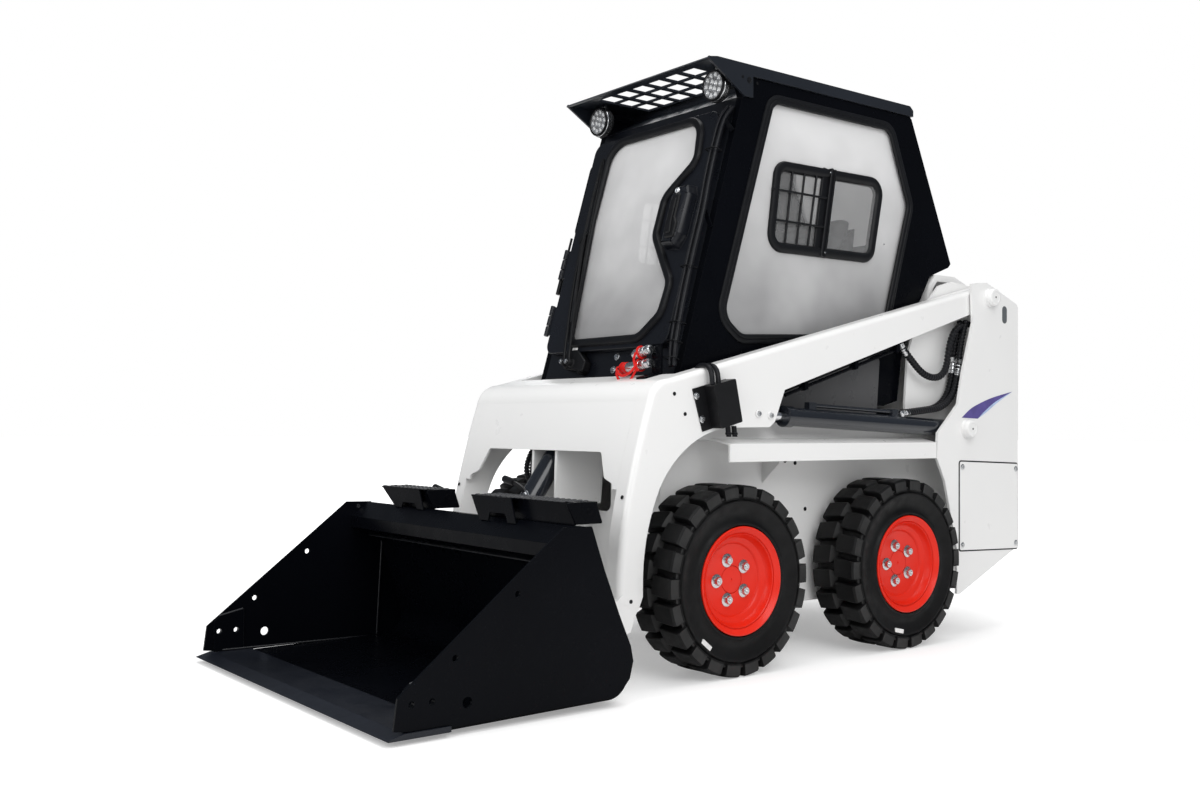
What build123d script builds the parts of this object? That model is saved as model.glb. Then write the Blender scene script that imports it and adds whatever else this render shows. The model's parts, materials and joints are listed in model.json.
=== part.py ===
from build123d import *
import os
from math import atan2, cos, hypot, radians, sin

os.makedirs("parts", exist_ok=True)

# Compact skid steer loader, in millimetres.
# Frame: +X is the machine's left, -Y its front, +Z up. The origin is on the ground,
# under the middle of the overall length.

# ---------------------------------------------------------------- driving dimensions
LENGTH = 2772
WHEELBASE = 795
FRONT_AXLE_Y = -147
REAR_AXLE_Y = FRONT_AXLE_Y + WHEELBASE
TYRE_R = 292
TYRE_MID_X = 470
LUGS = 22

ARM_IN, ARM_OUT = 422, 484
ARM_MID = (ARM_IN + ARM_OUT) / 2
TOWER_IN, TOWER_OUT = 404, 500
TOWER_T = 10
FRAME_HALF = 345

LIFT_PIVOT = (1205, 1250)
LIFT_BASE = (1062, 756)
LIFT_EYE = (54, 798)

BUCKET_PIN = (-562, 200)
TILT_BASE = (-314, 841)
TILT_EYE = (-645, 380)

BUCKET_HALF = 641
EDGE_HALF = 648
TIP_Y = -LENGTH / 2
REAR_Y = LENGTH / 2

CAB_HALF = 376
CAB_WALL = 28
ROOF_HALF = 384
ROOF_TOP = 1945
FRONT_LEAN = 0.295
FRONT_FOOT = (-200, 1060)

SIDES = (("left", 1), ("right", -1))


def front_y(z):
    """Y of the leaning cab front at height z."""
    return FRONT_FOOT[0] + (z - FRONT_FOOT[1]) * FRONT_LEAN


def side_plane(x):
    """Plane whose sketch axes are the machine's Y and Z, at a given X."""
    return Plane.YZ.offset(x)


def cross_plane(y):
    """Plane whose sketch axes are the machine's X and Z, at a given Y."""
    return Plane.XZ.offset(-y)


def slab(side, inner, outer):
    """Lower X and thickness of a slab between two distances from the middle plane."""
    return (inner if side > 0 else -outer), outer - inner


def spoke_plane(hub, side, angle):
    """Plane through an axle: sketch X is outboard, sketch Y is the spoke at an angle."""
    a = radians(angle)
    return Plane(origin=hub, x_dir=(side, 0, 0), z_dir=(0, -side * cos(a), side * sin(a)))


# ---------------------------------------------------------------- wheels
# Profiles are (outboard from the tyre's middle, radius). The carcass is faceted to stay light:
# each half of the tread, and each sidewall, has one flat for each lug.
TREAD_R = 264
TREAD_HALF = 86
LUG_HALF = 31
LUG_TOP = (TYRE_R ** 2 - LUG_HALF ** 2) ** 0.5
BEAD_R = 165
BORE_HALF = 100
WALL = [(-78, BEAD_R), (-92, 208), (-86, 250), (86, 250), (92, 208), (78, BEAD_R)]
LUG = [(3, 258), (3, LUG_TOP), (79, LUG_TOP), (86, 260)]
RIM = [
    (-80, 149), (-80, 164), (-73, 164), (-70, 156), (76, 156), (80, 164), (92, 164), (92, 150),
    (84, 143), (66, 140), (58, 112), (50, 104), (50, 46), (58, 38), (58, 0), (30, 0), (30, 100),
    (44, 122), (50, 149),
]

WHEELS = [
    ("front_left", 1, FRONT_AXLE_Y),
    ("front_right", -1, FRONT_AXLE_Y),
    ("rear_left", 1, REAR_AXLE_Y),
    ("rear_right", -1, REAR_AXLE_Y),
]

for name, side, axle_y in WHEELS:
    hub = (side * TYRE_MID_X, axle_y, TYRE_R)
    axle = Axis(hub, (1, 0, 0))
    top = spoke_plane(hub, side, 0)
    pitch = 360 / LUGS

    with BuildPart() as tyre:
        for u, radius in WALL:
            with BuildSketch(side_plane(hub[0] + side * u)):
                with Locations((axle_y, TYRE_R)):
                    RegularPolygon(radius, LUGS, major_radius=False)
        loft(ruled=True)
        for half, phase in ((1, 0), (-1, 0.5)):
            with BuildSketch(side_plane(hub[0])):
                with Locations((axle_y, TYRE_R)):
                    RegularPolygon(TREAD_R, LUGS, major_radius=False, rotation=90 + (phase + 0.5) * pitch)
            extrude(amount=side * half * TREAD_HALF)
            with BuildSketch(*[spoke_plane(hub, side, (k + phase) * pitch) for k in range(LUGS)]):
                with BuildLine():
                    Polyline(*[(half * u, radius) for u, radius in LUG], close=True)
                make_face()
            extrude(amount=LUG_HALF, both=True)
        with BuildSketch(side_plane(hub[0] - BORE_HALF)):
            with Locations((axle_y, TYRE_R)):
                RegularPolygon(BEAD_R, LUGS, major_radius=False)
        extrude(amount=2 * BORE_HALF, mode=Mode.SUBTRACT)
    tyre.part.label = f"tyre_{name}"
    export_step(tyre.part, f"parts/tyre_{name}.step")

    with BuildPart() as rim:
        with BuildSketch(top):
            with BuildLine():
                Polyline(*RIM, close=True)
            make_face()
        revolve(axis=axle)
    rim.part.label = f"rim_{name}"
    export_step(rim.part, f"parts/rim_{name}.step")

AXLE_R = 46
AXLE_END = TYRE_MID_X + 29
FLANGE_R, FLANGE_T = 84, 18
with BuildPart() as axle_housings:
    for side_name, side in SIDES:
        for axle_y in (FRONT_AXLE_Y, REAR_AXLE_Y):
            low, thick = slab(side, FRAME_HALF, AXLE_END)
            with BuildSketch(side_plane(low)):
                with Locations((axle_y, TYRE_R)):
                    Circle(AXLE_R)
            extrude(amount=thick)
            low, thick = slab(side, FRAME_HALF, FRAME_HALF + FLANGE_T)
            with BuildSketch(side_plane(low)):
                with Locations((axle_y, TYRE_R)):
                    Circle(FLANGE_R)
            extrude(amount=thick)
axle_housings.part.label = "axle_housings"
export_step(axle_housings.part, "parts/axle_housings.step")

# ---------------------------------------------------------------- chassis
NOSE_Y = -290
FRAME_END = 1346
BELLY_END = 1310
NOSE_FOOT, TAIL_FOOT = 250, 300
NOSE_RISE = 90
BELLY_Z = 165
FRAME_TOP = 722
CASE_T = 60
PLATE = 8
NOTCH_HALF, NOTCH_Z, NOTCH_R, NOTCH_TALL = 98, 480, 28, 600
THROUGH = 60
NOSE_TOP = 872

with BuildPart() as main_frame:
    for side_name, side in SIDES:
        low, thick = slab(side, FRAME_HALF - CASE_T, FRAME_HALF)
        with BuildSketch(side_plane(low)):
            with BuildLine():
                Polyline(
                    (NOSE_Y, NOSE_FOOT), (NOSE_Y + NOSE_RISE, BELLY_Z), (BELLY_END, BELLY_Z),
                    (FRAME_END, TAIL_FOOT),
                    (FRAME_END, FRAME_TOP), (NOSE_Y, FRAME_TOP), close=True,
                )
            make_face()
        extrude(amount=thick)
    with BuildSketch(side_plane(-FRAME_HALF)):
        with BuildLine():
            Polyline(
                (NOSE_Y, NOSE_FOOT), (NOSE_Y + NOSE_RISE, BELLY_Z), (BELLY_END, BELLY_Z),
                (BELLY_END, BELLY_Z + PLATE), (NOSE_Y + NOSE_RISE + 4, BELLY_Z + PLATE),
                (NOSE_Y + PLATE, NOSE_FOOT + 3), (NOSE_Y + PLATE, NOSE_TOP),
                (NOSE_Y, NOSE_TOP), close=True,
            )
        make_face()
    extrude(amount=2 * FRAME_HALF)
    with BuildSketch(cross_plane(NOSE_Y + 30)):
        with Locations((0, NOTCH_Z + NOTCH_TALL / 2)):
            RectangleRounded(2 * NOTCH_HALF, NOTCH_TALL, NOTCH_R)
    extrude(amount=THROUGH, both=True, mode=Mode.SUBTRACT)
main_frame.part.label = "main_frame"
export_step(main_frame.part, "parts/main_frame.step")

# tower: outer side sheet of the rear quarter, in (Y, Z)
TOWER = [
    (1093, 1294), (1130, 1300), (1186, 1305), (1374, 1238), (REAR_Y, 1226), (REAR_Y, 307),
    (1020, 153), (1002, 154), (1002, 318), (931, 567), (884, 651), (890, 741), (1008, 847),
    (1038, 969), (1099, 1150),
]
INNER = [(814, 849), (831, 1031), (900, 1180), (1010, 1288), (1091, 1310), (1200, 1300), (1360, 1232),
         (1360, 722), (814, 722)]
ACCESS = [(1017, 312), (1017, 636), (1380, 622), (1380, 300)]
ACCESS_T = 3
REAR_T = 12
SHELF_Y, SHELF_Z, SHELF_T = 940, 690, 10
EYE_SLOT = (1298, 1191)
GUSSET_Y, GUSSET_T = 154, 6
GUSSET = [(FRAME_HALF, 572), (424, 642), (424, FRAME_TOP - 6), (FRAME_HALF, FRAME_TOP - 6)]
LEDGE = [(500, 650), (500, 707), (432, FRAME_TOP), (FRAME_HALF, FRAME_TOP), (FRAME_HALF, FRAME_TOP - 8),
         (430, FRAME_TOP - 8), (492, 702), (492, 650)]
LEDGE_Y = (-140, 882)
BOSS_R = 34
BOSS_OUT = 12
PIN_R = 20
RUN = 0.5

for side_name, side in SIDES:
    with BuildPart() as tower:
        low, thick = slab(side, TOWER_OUT - TOWER_T, TOWER_OUT)
        with BuildSketch(side_plane(low)):
            with BuildLine():
                Polyline(*TOWER, close=True)
            make_face()
            with Locations(EYE_SLOT):
                SlotOverall(62, 16, rotation=90, mode=Mode.SUBTRACT)
        extrude(amount=thick)
        low, thick = slab(side, TOWER_IN, TOWER_IN + TOWER_T)
        with BuildSketch(side_plane(low)):
            with BuildLine():
                Polyline(*INNER, close=True)
            make_face()
        extrude(amount=thick)
        low, thick = slab(side, FRAME_HALF, TOWER_OUT)
        with BuildSketch(side_plane(low)):
            with BuildLine():
                Polyline((REAR_Y - REAR_T, 1226), (REAR_Y, 1226), (REAR_Y, 307), (REAR_Y - REAR_T, 307),
                         close=True)
            make_face()
            with Locations(((SHELF_Y + REAR_Y) / 2, SHELF_Z + SHELF_T / 2)):
                Rectangle(REAR_Y - SHELF_Y, SHELF_T)
        extrude(amount=thick)
        low, thick = slab(side, TOWER_OUT, TOWER_OUT + ACCESS_T)
        with BuildSketch(side_plane(low)):
            with BuildLine():
                FilletPolyline(*ACCESS, radius=8, close=True)
            make_face()
        extrude(amount=thick)
        for pin in (LIFT_PIVOT, LIFT_BASE):
            low, thick = slab(side, TOWER_OUT, TOWER_OUT + BOSS_OUT)
            with BuildSketch(side_plane(low)):
                with Locations(pin):
                    Circle(BOSS_R)
            extrude(amount=thick)
            low, thick = slab(side, TOWER_IN, TOWER_OUT)
            with BuildSketch(side_plane(low)):
                with Locations(pin):
                    Circle(PIN_R)
            extrude(amount=thick)
    tower.part.label = f"tower_{side_name}"
    export_step(tower.part, f"parts/tower_{side_name}.step")

    # fender ledge over both wheels, profile in (X, Z)
    with BuildPart() as fender:
        for outline, start, length in (
            (LEDGE, LEDGE_Y[0], LEDGE_Y[1] - LEDGE_Y[0]),
            (GUSSET, GUSSET_Y, GUSSET_T),
        ):
            with BuildSketch(Plane(origin=(0, start, 0), x_dir=(side, 0, 0), z_dir=(0, -side, 0))):
                with BuildLine():
                    Polyline(*outline, close=True)
                make_face()
            extrude(amount=-side * length)
    fender.part.label = f"fender_{side_name}"
    export_step(fender.part, f"parts/fender_{side_name}.step")

ENGINE_AT = (0, 1140, 560)
ENGINE_SIZE = (440, 380, 560)
with BuildPart() as engine:
    with Locations(ENGINE_AT):
        Box(*ENGINE_SIZE)
engine.part.label = "engine"
export_step(engine.part, "parts/engine.step")

HOOD = [(905, 822), (1002, 1290), (1035, 1335), (1150, 1335), (1350, 1266), (1350, 1244), (1150, 1310),
        (1045, 1310), (1020, 1280), (930, 822)]
HOOD_HALF = 380
with BuildPart() as engine_hood:
    with BuildSketch(side_plane(-HOOD_HALF)):
        with BuildLine():
            Polyline(*HOOD, close=True)
        make_face()
    extrude(amount=2 * HOOD_HALF)
engine_hood.part.label = "engine_hood"
export_step(engine_hood.part, "parts/engine_hood.step")

REAR_DOOR_HALF = 320
REAR_DOOR_T = 30
REAR_DOOR_Z = (340, 1220)
LOUVRES, LOUVRE_Z, LOUVRE_PITCH = 8, 740, 46
LOUVRE_SIZE = (420, 18)
BARREL_Z, BARREL_TALL = (500, 1040), 80
LEAF_T = 6
REAR_HINGE = (-333, 1379)
REAR_HINGE_R = 7
with BuildPart() as rear_door:
    with BuildSketch(cross_plane(REAR_Y)):
        with Locations((0, sum(REAR_DOOR_Z) / 2)):
            RectangleRounded(2 * REAR_DOOR_HALF, REAR_DOOR_Z[1] - REAR_DOOR_Z[0], 18)
        with Locations(*[(0, LOUVRE_Z + LOUVRE_PITCH * k) for k in range(LOUVRES)]):
            SlotOverall(*LOUVRE_SIZE, mode=Mode.SUBTRACT)
    extrude(amount=REAR_DOOR_T)
    for z in BARREL_Z:
        with BuildSketch(Plane.XY.offset(z)):
            with Locations(REAR_HINGE):
                Circle(REAR_HINGE_R)
            with Locations((REAR_HINGE[0] + REAR_HINGE_R + 1, REAR_HINGE[1])):
                Rectangle(2 * REAR_HINGE_R + 2, LEAF_T)
        extrude(amount=BARREL_TALL)
rear_door.part.label = "rear_door"
export_step(rear_door.part, "parts/rear_door.step")

# ---------------------------------------------------------------- cab
SIDE_PANEL = [
    (front_y(885), 885), (front_y(1839), 1839), (6, 1908), (888, 1908), (898, 1900), (1133, 1383), (1118, 1368),
    (1007, 1327), (948, 1231), (844, 1040), (815, 857), (740, 838), (-100, 838),
]
# grab handle on the right side of the cab, its bar's X and the heights it runs between
HANDLE_R = 9
HANDLE_X = -404
HANDLE_Z = (1470, 1730)
HANDLE_BACK = 14
# window corners with their round radii
WINDOW = [(-75, 1110, 50), (158, 1857, 55), (780, 1857, 55), (893, 1578, 60), (740, 1075, 60), (20, 1040, 55)]
GLASS_IN, GLASS_T = CAB_HALF - 18, 6
# sliding pane's frame, its middle post, and the bars of the guard in its front half
SLIDER = [(149, 1345), (687, 1349), (753, 1660), (190, 1654)]
SLIDER_RIM = 28
SLIDER_POST = [(402, 1348), (430, 1348), (486, 1657), (458, 1657)]
GUARD_T = 6
UPRIGHTS, UPRIGHT_FOOT, UPRIGHT_HEAD = 3, 233, 278
GUARD_Z, GUARD_RUN = (1451, 1553), (170, 440)


def window_outline(grow):
    """Side window outline as a closed rounded line, grown by an offset."""
    points = [(y, z) for y, z, r in WINDOW]
    with BuildSketch() as outline:
        with BuildLine():
            Polyline(*points, close=True)
        make_face()
        for y, z, r in WINDOW:
            fillet(outline.vertices().sort_by_distance((y, z, 0))[0], radius=r)
        if grow:
            offset(amount=grow)
    return outline.sketch


glass_shape = window_outline(0)

for side_name, side in SIDES:
    low, thick = slab(side, CAB_HALF - CAB_WALL, CAB_HALF)
    with BuildPart() as cab_side:
        with BuildSketch(side_plane(low)):
            with BuildLine():
                Polyline(*SIDE_PANEL, close=True)
            make_face()
            add(glass_shape, mode=Mode.SUBTRACT)
        extrude(amount=thick)
        if side < 0:
            foot, head = [(front_y(z) + HANDLE_BACK, z) for z in HANDLE_Z]
            with BuildLine():
                FilletPolyline(
                    (-CAB_HALF + 4, *foot), (HANDLE_X, *foot), (HANDLE_X, *head), (-CAB_HALF + 4, *head),
                    radius=2 * HANDLE_R,
                )
            with BuildSketch(Plane(origin=(-CAB_HALF + 4, *foot), z_dir=(-1, 0, 0))):
                Circle(HANDLE_R)
            sweep()
    cab_side.part.label = f"cab_side_{side_name}"
    export_step(cab_side.part, f"parts/cab_side_{side_name}.step")

    low, thick = slab(side, GLASS_IN, GLASS_IN + GLASS_T)
    with BuildPart() as side_glass:
        with BuildSketch(side_plane(low)):
            add(glass_shape)
        extrude(amount=thick)
    side_glass.part.label = f"side_glass_{side_name}"
    export_step(side_glass.part, f"parts/side_glass_{side_name}.step")

    low, thick = slab(side, GLASS_IN + GLASS_T, CAB_HALF + 4)
    with BuildPart() as slider_frame:
        with BuildSketch(side_plane(low)):
            with BuildLine():
                FilletPolyline(*SLIDER, radius=60, close=True)
            make_face()
            offset(amount=-SLIDER_RIM, mode=Mode.SUBTRACT)
            with BuildLine():
                Polyline(*SLIDER_POST, close=True)
            make_face()
        extrude(amount=thick)
        low, thick = slab(side, GLASS_IN + GLASS_T, GLASS_IN + GLASS_T + GUARD_T)
        with BuildSketch(side_plane(low)):
            for k in range(UPRIGHTS):
                foot, head = UPRIGHT_FOOT + 56 * k, UPRIGHT_HEAD + 60 * k
                with BuildLine():
                    Polyline((foot, 1350), (foot + GUARD_T, 1350), (head + GUARD_T, 1652), (head, 1652),
                             close=True)
                make_face()
            with Locations(*[(GUARD_RUN[0] + (GUARD_RUN[1] - GUARD_RUN[0]) / 2, z) for z in GUARD_Z]):
                Rectangle(GUARD_RUN[1] - GUARD_RUN[0], GUARD_T)
        extrude(amount=thick)
    slider_frame.part.label = f"slider_frame_{side_name}"
    export_step(slider_frame.part, f"parts/slider_frame_{side_name}.step")

VISOR_TIP = -130
ROOF_LOW, ROOF_END = 1908, 898
POCKET_END = 180
SHEET_T = 8
HEADER = [(30, 1840), (190, 1922), (190, 1914), (46, 1840)]
WING = [(VISOR_TIP + 4, 1932), (32, 1838), (70, 1838), (70, 1915), (VISOR_TIP + 4, 1940)]
# visor openings: how many, their pitch and their size, across and along
GRID = (6, 3)
GRID_PITCH = (88, 82)
GRID_HOLE = (75, 74)
GRID_Y = 41
with BuildPart() as cab_roof:
    with BuildSketch(side_plane(-ROOF_HALF)):
        with BuildLine():
            Polyline(
                (VISOR_TIP, 1932), (VISOR_TIP + 6, ROOF_TOP - 6), (VISOR_TIP + 40, ROOF_TOP),
                (ROOF_END - 18, ROOF_TOP), (ROOF_END, ROOF_TOP - 15), (ROOF_END, ROOF_LOW), (20, ROOF_LOW),
                close=True,
            )
        make_face()
    extrude(amount=2 * ROOF_HALF)
    with BuildSketch(side_plane(-ROOF_HALF + SHEET_T)):
        with BuildLine():
            Polyline(
                (VISOR_TIP + 10, ROOF_LOW - 18), (VISOR_TIP + 10, ROOF_TOP - SHEET_T),
                (POCKET_END, ROOF_TOP - SHEET_T), (POCKET_END, ROOF_LOW - 18), close=True,
            )
        make_face()
    extrude(amount=2 * (ROOF_HALF - SHEET_T), mode=Mode.SUBTRACT)
    with BuildSketch(Plane.XY.offset(ROOF_TOP)):
        with Locations((0, GRID_Y)):
            with GridLocations(*GRID_PITCH, *GRID):
                Rectangle(*GRID_HOLE)
    extrude(amount=-2 * SHEET_T, mode=Mode.SUBTRACT)
    with BuildSketch(side_plane(-(CAB_HALF - CAB_WALL))):
        with BuildLine():
            Polyline(*HEADER, close=True)
        make_face()
    extrude(amount=2 * (CAB_HALF - CAB_WALL))
    for side_name, side in SIDES:
        low, thick = slab(side, CAB_HALF, ROOF_HALF)
        with BuildSketch(side_plane(low)):
            with BuildLine():
                Polyline(*WING, close=True)
            make_face()
        extrude(amount=thick)
cab_roof.part.label = "cab_roof"
export_step(cab_roof.part, "parts/cab_roof.step")

REAR_WINDOW, REAR_WINDOW_R, REAR_WINDOW_Z = (520, 330), 50, 1650
REAR_CUT_Y, REAR_CUT = 1200, 400
with BuildPart() as cab_rear:
    with BuildSketch(side_plane(-(CAB_HALF - CAB_WALL))):
        with BuildLine():
            Polyline((898, 1908), (872, 1908), (1080, 1390), (985, 1345), (925, 1240), (812, 1030), (785, 862),
                     (815, 857), (844, 1040), (948, 1231), (1007, 1327), (1118, 1368), (1133, 1383), close=True)
        make_face()
    extrude(amount=2 * (CAB_HALF - CAB_WALL))
    with BuildSketch(cross_plane(REAR_CUT_Y)):
        with Locations((0, REAR_WINDOW_Z)):
            RectangleRounded(*REAR_WINDOW, REAR_WINDOW_R)
    extrude(amount=REAR_CUT, mode=Mode.SUBTRACT)
cab_rear.part.label = "cab_rear"
export_step(cab_rear.part, "parts/cab_rear.step")

with BuildPart() as rear_glass:
    with BuildSketch(side_plane(-(CAB_HALF - CAB_WALL))):
        with BuildLine():
            Polyline((1075, 1480), (1081, 1480), (930, 1820), (924, 1820), close=True)
        make_face()
    extrude(amount=2 * (CAB_HALF - CAB_WALL))
    with BuildSketch(cross_plane(REAR_CUT_Y)):
        with Locations((0, REAR_WINDOW_Z)):
            RectangleRounded(REAR_WINDOW[0] - RUN, REAR_WINDOW[1] - RUN, REAR_WINDOW_R)
    extrude(amount=REAR_CUT, mode=Mode.INTERSECT)
rear_glass.part.label = "rear_glass"
export_step(rear_glass.part, "parts/rear_glass.step")

# leaning front plane: sketch X is the machine's X, sketch Y runs up the slope from z = 885
lean = atan2(FRONT_LEAN, 1)
front_plane = Plane(origin=(0, front_y(885), 885), x_dir=(1, 0, 0), z_dir=(0, -cos(lean), sin(lean)))


def up(z):
    """Distance up the leaning front for a height."""
    return (z - 885) / cos(lean)


POST = 34
FRONT_TOP = 1839
# doorway: lower and upper edge, and the sill under it
DOORWAY = (1016, 1787)
with BuildPart() as cab_front:
    with BuildSketch(front_plane):
        with Locations((0, up(FRONT_TOP) / 2)):
            Rectangle(2 * (CAB_HALF - CAB_WALL), up(FRONT_TOP))
        with Locations((0, (up(DOORWAY[0]) + up(DOORWAY[1])) / 2)):
            Rectangle(2 * (CAB_HALF - CAB_WALL - POST), up(DOORWAY[1]) - up(DOORWAY[0]), mode=Mode.SUBTRACT)
    extrude(amount=-CAB_WALL)
cab_front.part.label = "cab_front"
export_step(cab_front.part, "parts/cab_front.step")

DOOR_LEFT, DOOR_RIGHT = 312, -352
DOOR_LOW, DOOR_HIGH = 1008, 1795
DOOR_T, DOOR_R = 26, 40
HINGE_X = -392
HINGE_Z = (1135, 1345)
KNUCKLE_R, KNUCKLE_TALL = 9, 110
DOOR_GAP = 2
# latch box on the door, X and Z of its foot
LATCH_T = 38
LATCH = [(222, 1330), (246, 1368), (250, 1500), (232, 1535), (176, 1535), (150, 1505), (150, 1330)]
DOOR_GLASS = [(-250, 1040, 40), (-292, 1500, 30), (-288, 1752, 70), (170, 1752, 60), (205, 1600, 50),
              (118, 1500, 60), (118, 1390, 50), (212, 1220, 60), (205, 1110, 60), (100, 1040, 60)]


def door_outline():
    """Door glass outline on the leaning front, rounded at its corners."""
    with BuildSketch() as outline:
        with BuildLine():
            Polyline(*[(x, up(z)) for x, z, r in DOOR_GLASS], close=True)
        make_face()
        for x, z, r in DOOR_GLASS:
            fillet(outline.vertices().sort_by_distance((x, up(z), 0))[0], radius=r)
    return outline.sketch


door_glass_shape = door_outline()
door_plane = front_plane.offset(DOOR_GAP)
with BuildPart() as cab_door:
    with BuildSketch(door_plane):
        with Locations(((DOOR_LEFT + DOOR_RIGHT) / 2, (up(DOOR_LOW) + up(DOOR_HIGH)) / 2)):
            RectangleRounded(DOOR_LEFT - DOOR_RIGHT, up(DOOR_HIGH) - up(DOOR_LOW), DOOR_R)
        add(door_glass_shape, mode=Mode.SUBTRACT)
    extrude(amount=DOOR_T)
    for z in HINGE_Z:
        foot = door_plane.from_local_coords((0, up(z), DOOR_T / 2))
        with BuildSketch(Plane(origin=foot, x_dir=(1, 0, 0), z_dir=(0, sin(lean), cos(lean)))):
            with Locations((HINGE_X, 0)):
                Circle(KNUCKLE_R)
            with Locations(((HINGE_X + DOOR_RIGHT) / 2 + 2, 0)):
                Rectangle(DOOR_RIGHT - HINGE_X + 4, KNUCKLE_R - 1)
        extrude(amount=KNUCKLE_TALL)
    with BuildSketch(door_plane.offset(DOOR_T)):
        with BuildLine():
            Polyline(*[(x, up(z)) for x, z in LATCH], close=True)
        make_face()
    extrude(amount=LATCH_T, taper=12)
cab_door.part.label = "cab_door"
export_step(cab_door.part, "parts/cab_door.step")

with BuildPart() as door_glass:
    with BuildSketch(door_plane.offset(DOOR_T / 2)):
        add(door_glass_shape)
    extrude(amount=GLASS_T)
door_glass.part.label = "door_glass"
export_step(door_glass.part, "parts/door_glass.step")

# lamp section, (distance behind its face, radius)
LAMP_AT = (308, -34, 1876)
TAB_BACK, TAB_LOW, TAB_WIDE, TAB_T = 24, 1906, 30, 5
LAMP = [(0, 0), (0, 45), (-4, 48), (2, 52), (22, 52), (34, 40), (44, 22), (44, 0)]
with BuildPart() as work_lamps:
    for side_name, side in SIDES:
        spot = (side * LAMP_AT[0], LAMP_AT[1], LAMP_AT[2])
        with BuildSketch(Plane(origin=spot, x_dir=(0, 1, 0), z_dir=(1, 0, 0))):
            with BuildLine():
                Polyline(*LAMP, close=True)
            make_face()
        revolve(axis=Axis(spot, (0, 1, 0)))
        with BuildSketch(cross_plane(LAMP_AT[1] + TAB_BACK)):
            with Locations((side * LAMP_AT[0], (TAB_LOW + ROOF_TOP - SHEET_T) / 2)):
                Rectangle(TAB_WIDE, ROOF_TOP - SHEET_T - TAB_LOW)
        extrude(amount=TAB_T)
work_lamps.part.label = "work_lamps"
export_step(work_lamps.part, "parts/work_lamps.step")

# ---------------------------------------------------------------- cab inside
FLOOR = [(-235, 760), (300, 760), (300, 1040), (780, 1040), (780, 1030), (310, 1030), (310, 750), (-235, 750)]
SEAT = [(290, 1040), (290, 1150), (640, 1130), (710, 1560), (780, 1560), (720, 1040)]
SEAT_HALF, SEAT_R = 230, 24
LEVER_AT, LEVER_FOOT = (200, -40), 760
# lever steps: radius and height
LEVER = [(9, 420), (20, 110)]
with BuildPart() as cab_floor:
    with BuildSketch(side_plane(-(CAB_HALF - CAB_WALL))):
        with BuildLine():
            Polyline(*FLOOR, close=True)
        make_face()
    extrude(amount=2 * (CAB_HALF - CAB_WALL))
cab_floor.part.label = "cab_floor"
export_step(cab_floor.part, "parts/cab_floor.step")

with BuildPart() as seat:
    with BuildSketch(side_plane(-SEAT_HALF)):
        with BuildLine():
            Polyline(*SEAT, close=True)
        make_face()
    extrude(amount=2 * SEAT_HALF)
    fillet(seat.edges().filter_by(Axis.X), radius=SEAT_R)
seat.part.label = "seat"
export_step(seat.part, "parts/seat.step")

for side_name, side in SIDES:
    with BuildPart() as lever:
        foot = LEVER_FOOT
        for radius, tall in LEVER:
            with BuildSketch(Plane.XY.offset(foot)):
                with Locations((side * LEVER_AT[0], LEVER_AT[1])):
                    Circle(radius)
            extrude(amount=tall)
            foot += tall
    lever.part.label = f"lever_{side_name}"
    export_step(lever.part, f"parts/lever_{side_name}.step")

BAR_PIVOT = (620, 1330)
BAR_HALF, BAR_FRONT, BAR_R = 300, 260, 13
BAR_EYE_R = 18
with BuildPart() as seat_bar:
    with BuildLine() as bar_path:
        FilletPolyline(
            (-BAR_HALF, *BAR_PIVOT), (-BAR_HALF, BAR_FRONT, BAR_PIVOT[1]), (BAR_HALF, BAR_FRONT, BAR_PIVOT[1]),
            (BAR_HALF, *BAR_PIVOT), radius=60,
        )
    with BuildSketch(Plane(origin=bar_path.line @ 0, z_dir=bar_path.line % 0)):
        Circle(BAR_R)
    sweep()
    for side_name, side in SIDES:
        low, thick = slab(side, BAR_HALF - 10, CAB_HALF - CAB_WALL - 1)
        with BuildSketch(side_plane(low)):
            with Locations(BAR_PIVOT):
                Circle(BAR_EYE_R)
        extrude(amount=thick)
seat_bar.part.label = "seat_bar"
export_step(seat_bar.part, "parts/seat_bar.step")

# ---------------------------------------------------------------- lift arms
ARM_WALL = 9
ARM_ROLL = 18


def arm_top(y):
    """Height of the arm's sloping top edge."""
    return 1275 + 0.2505 * (y - 1115)


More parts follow.
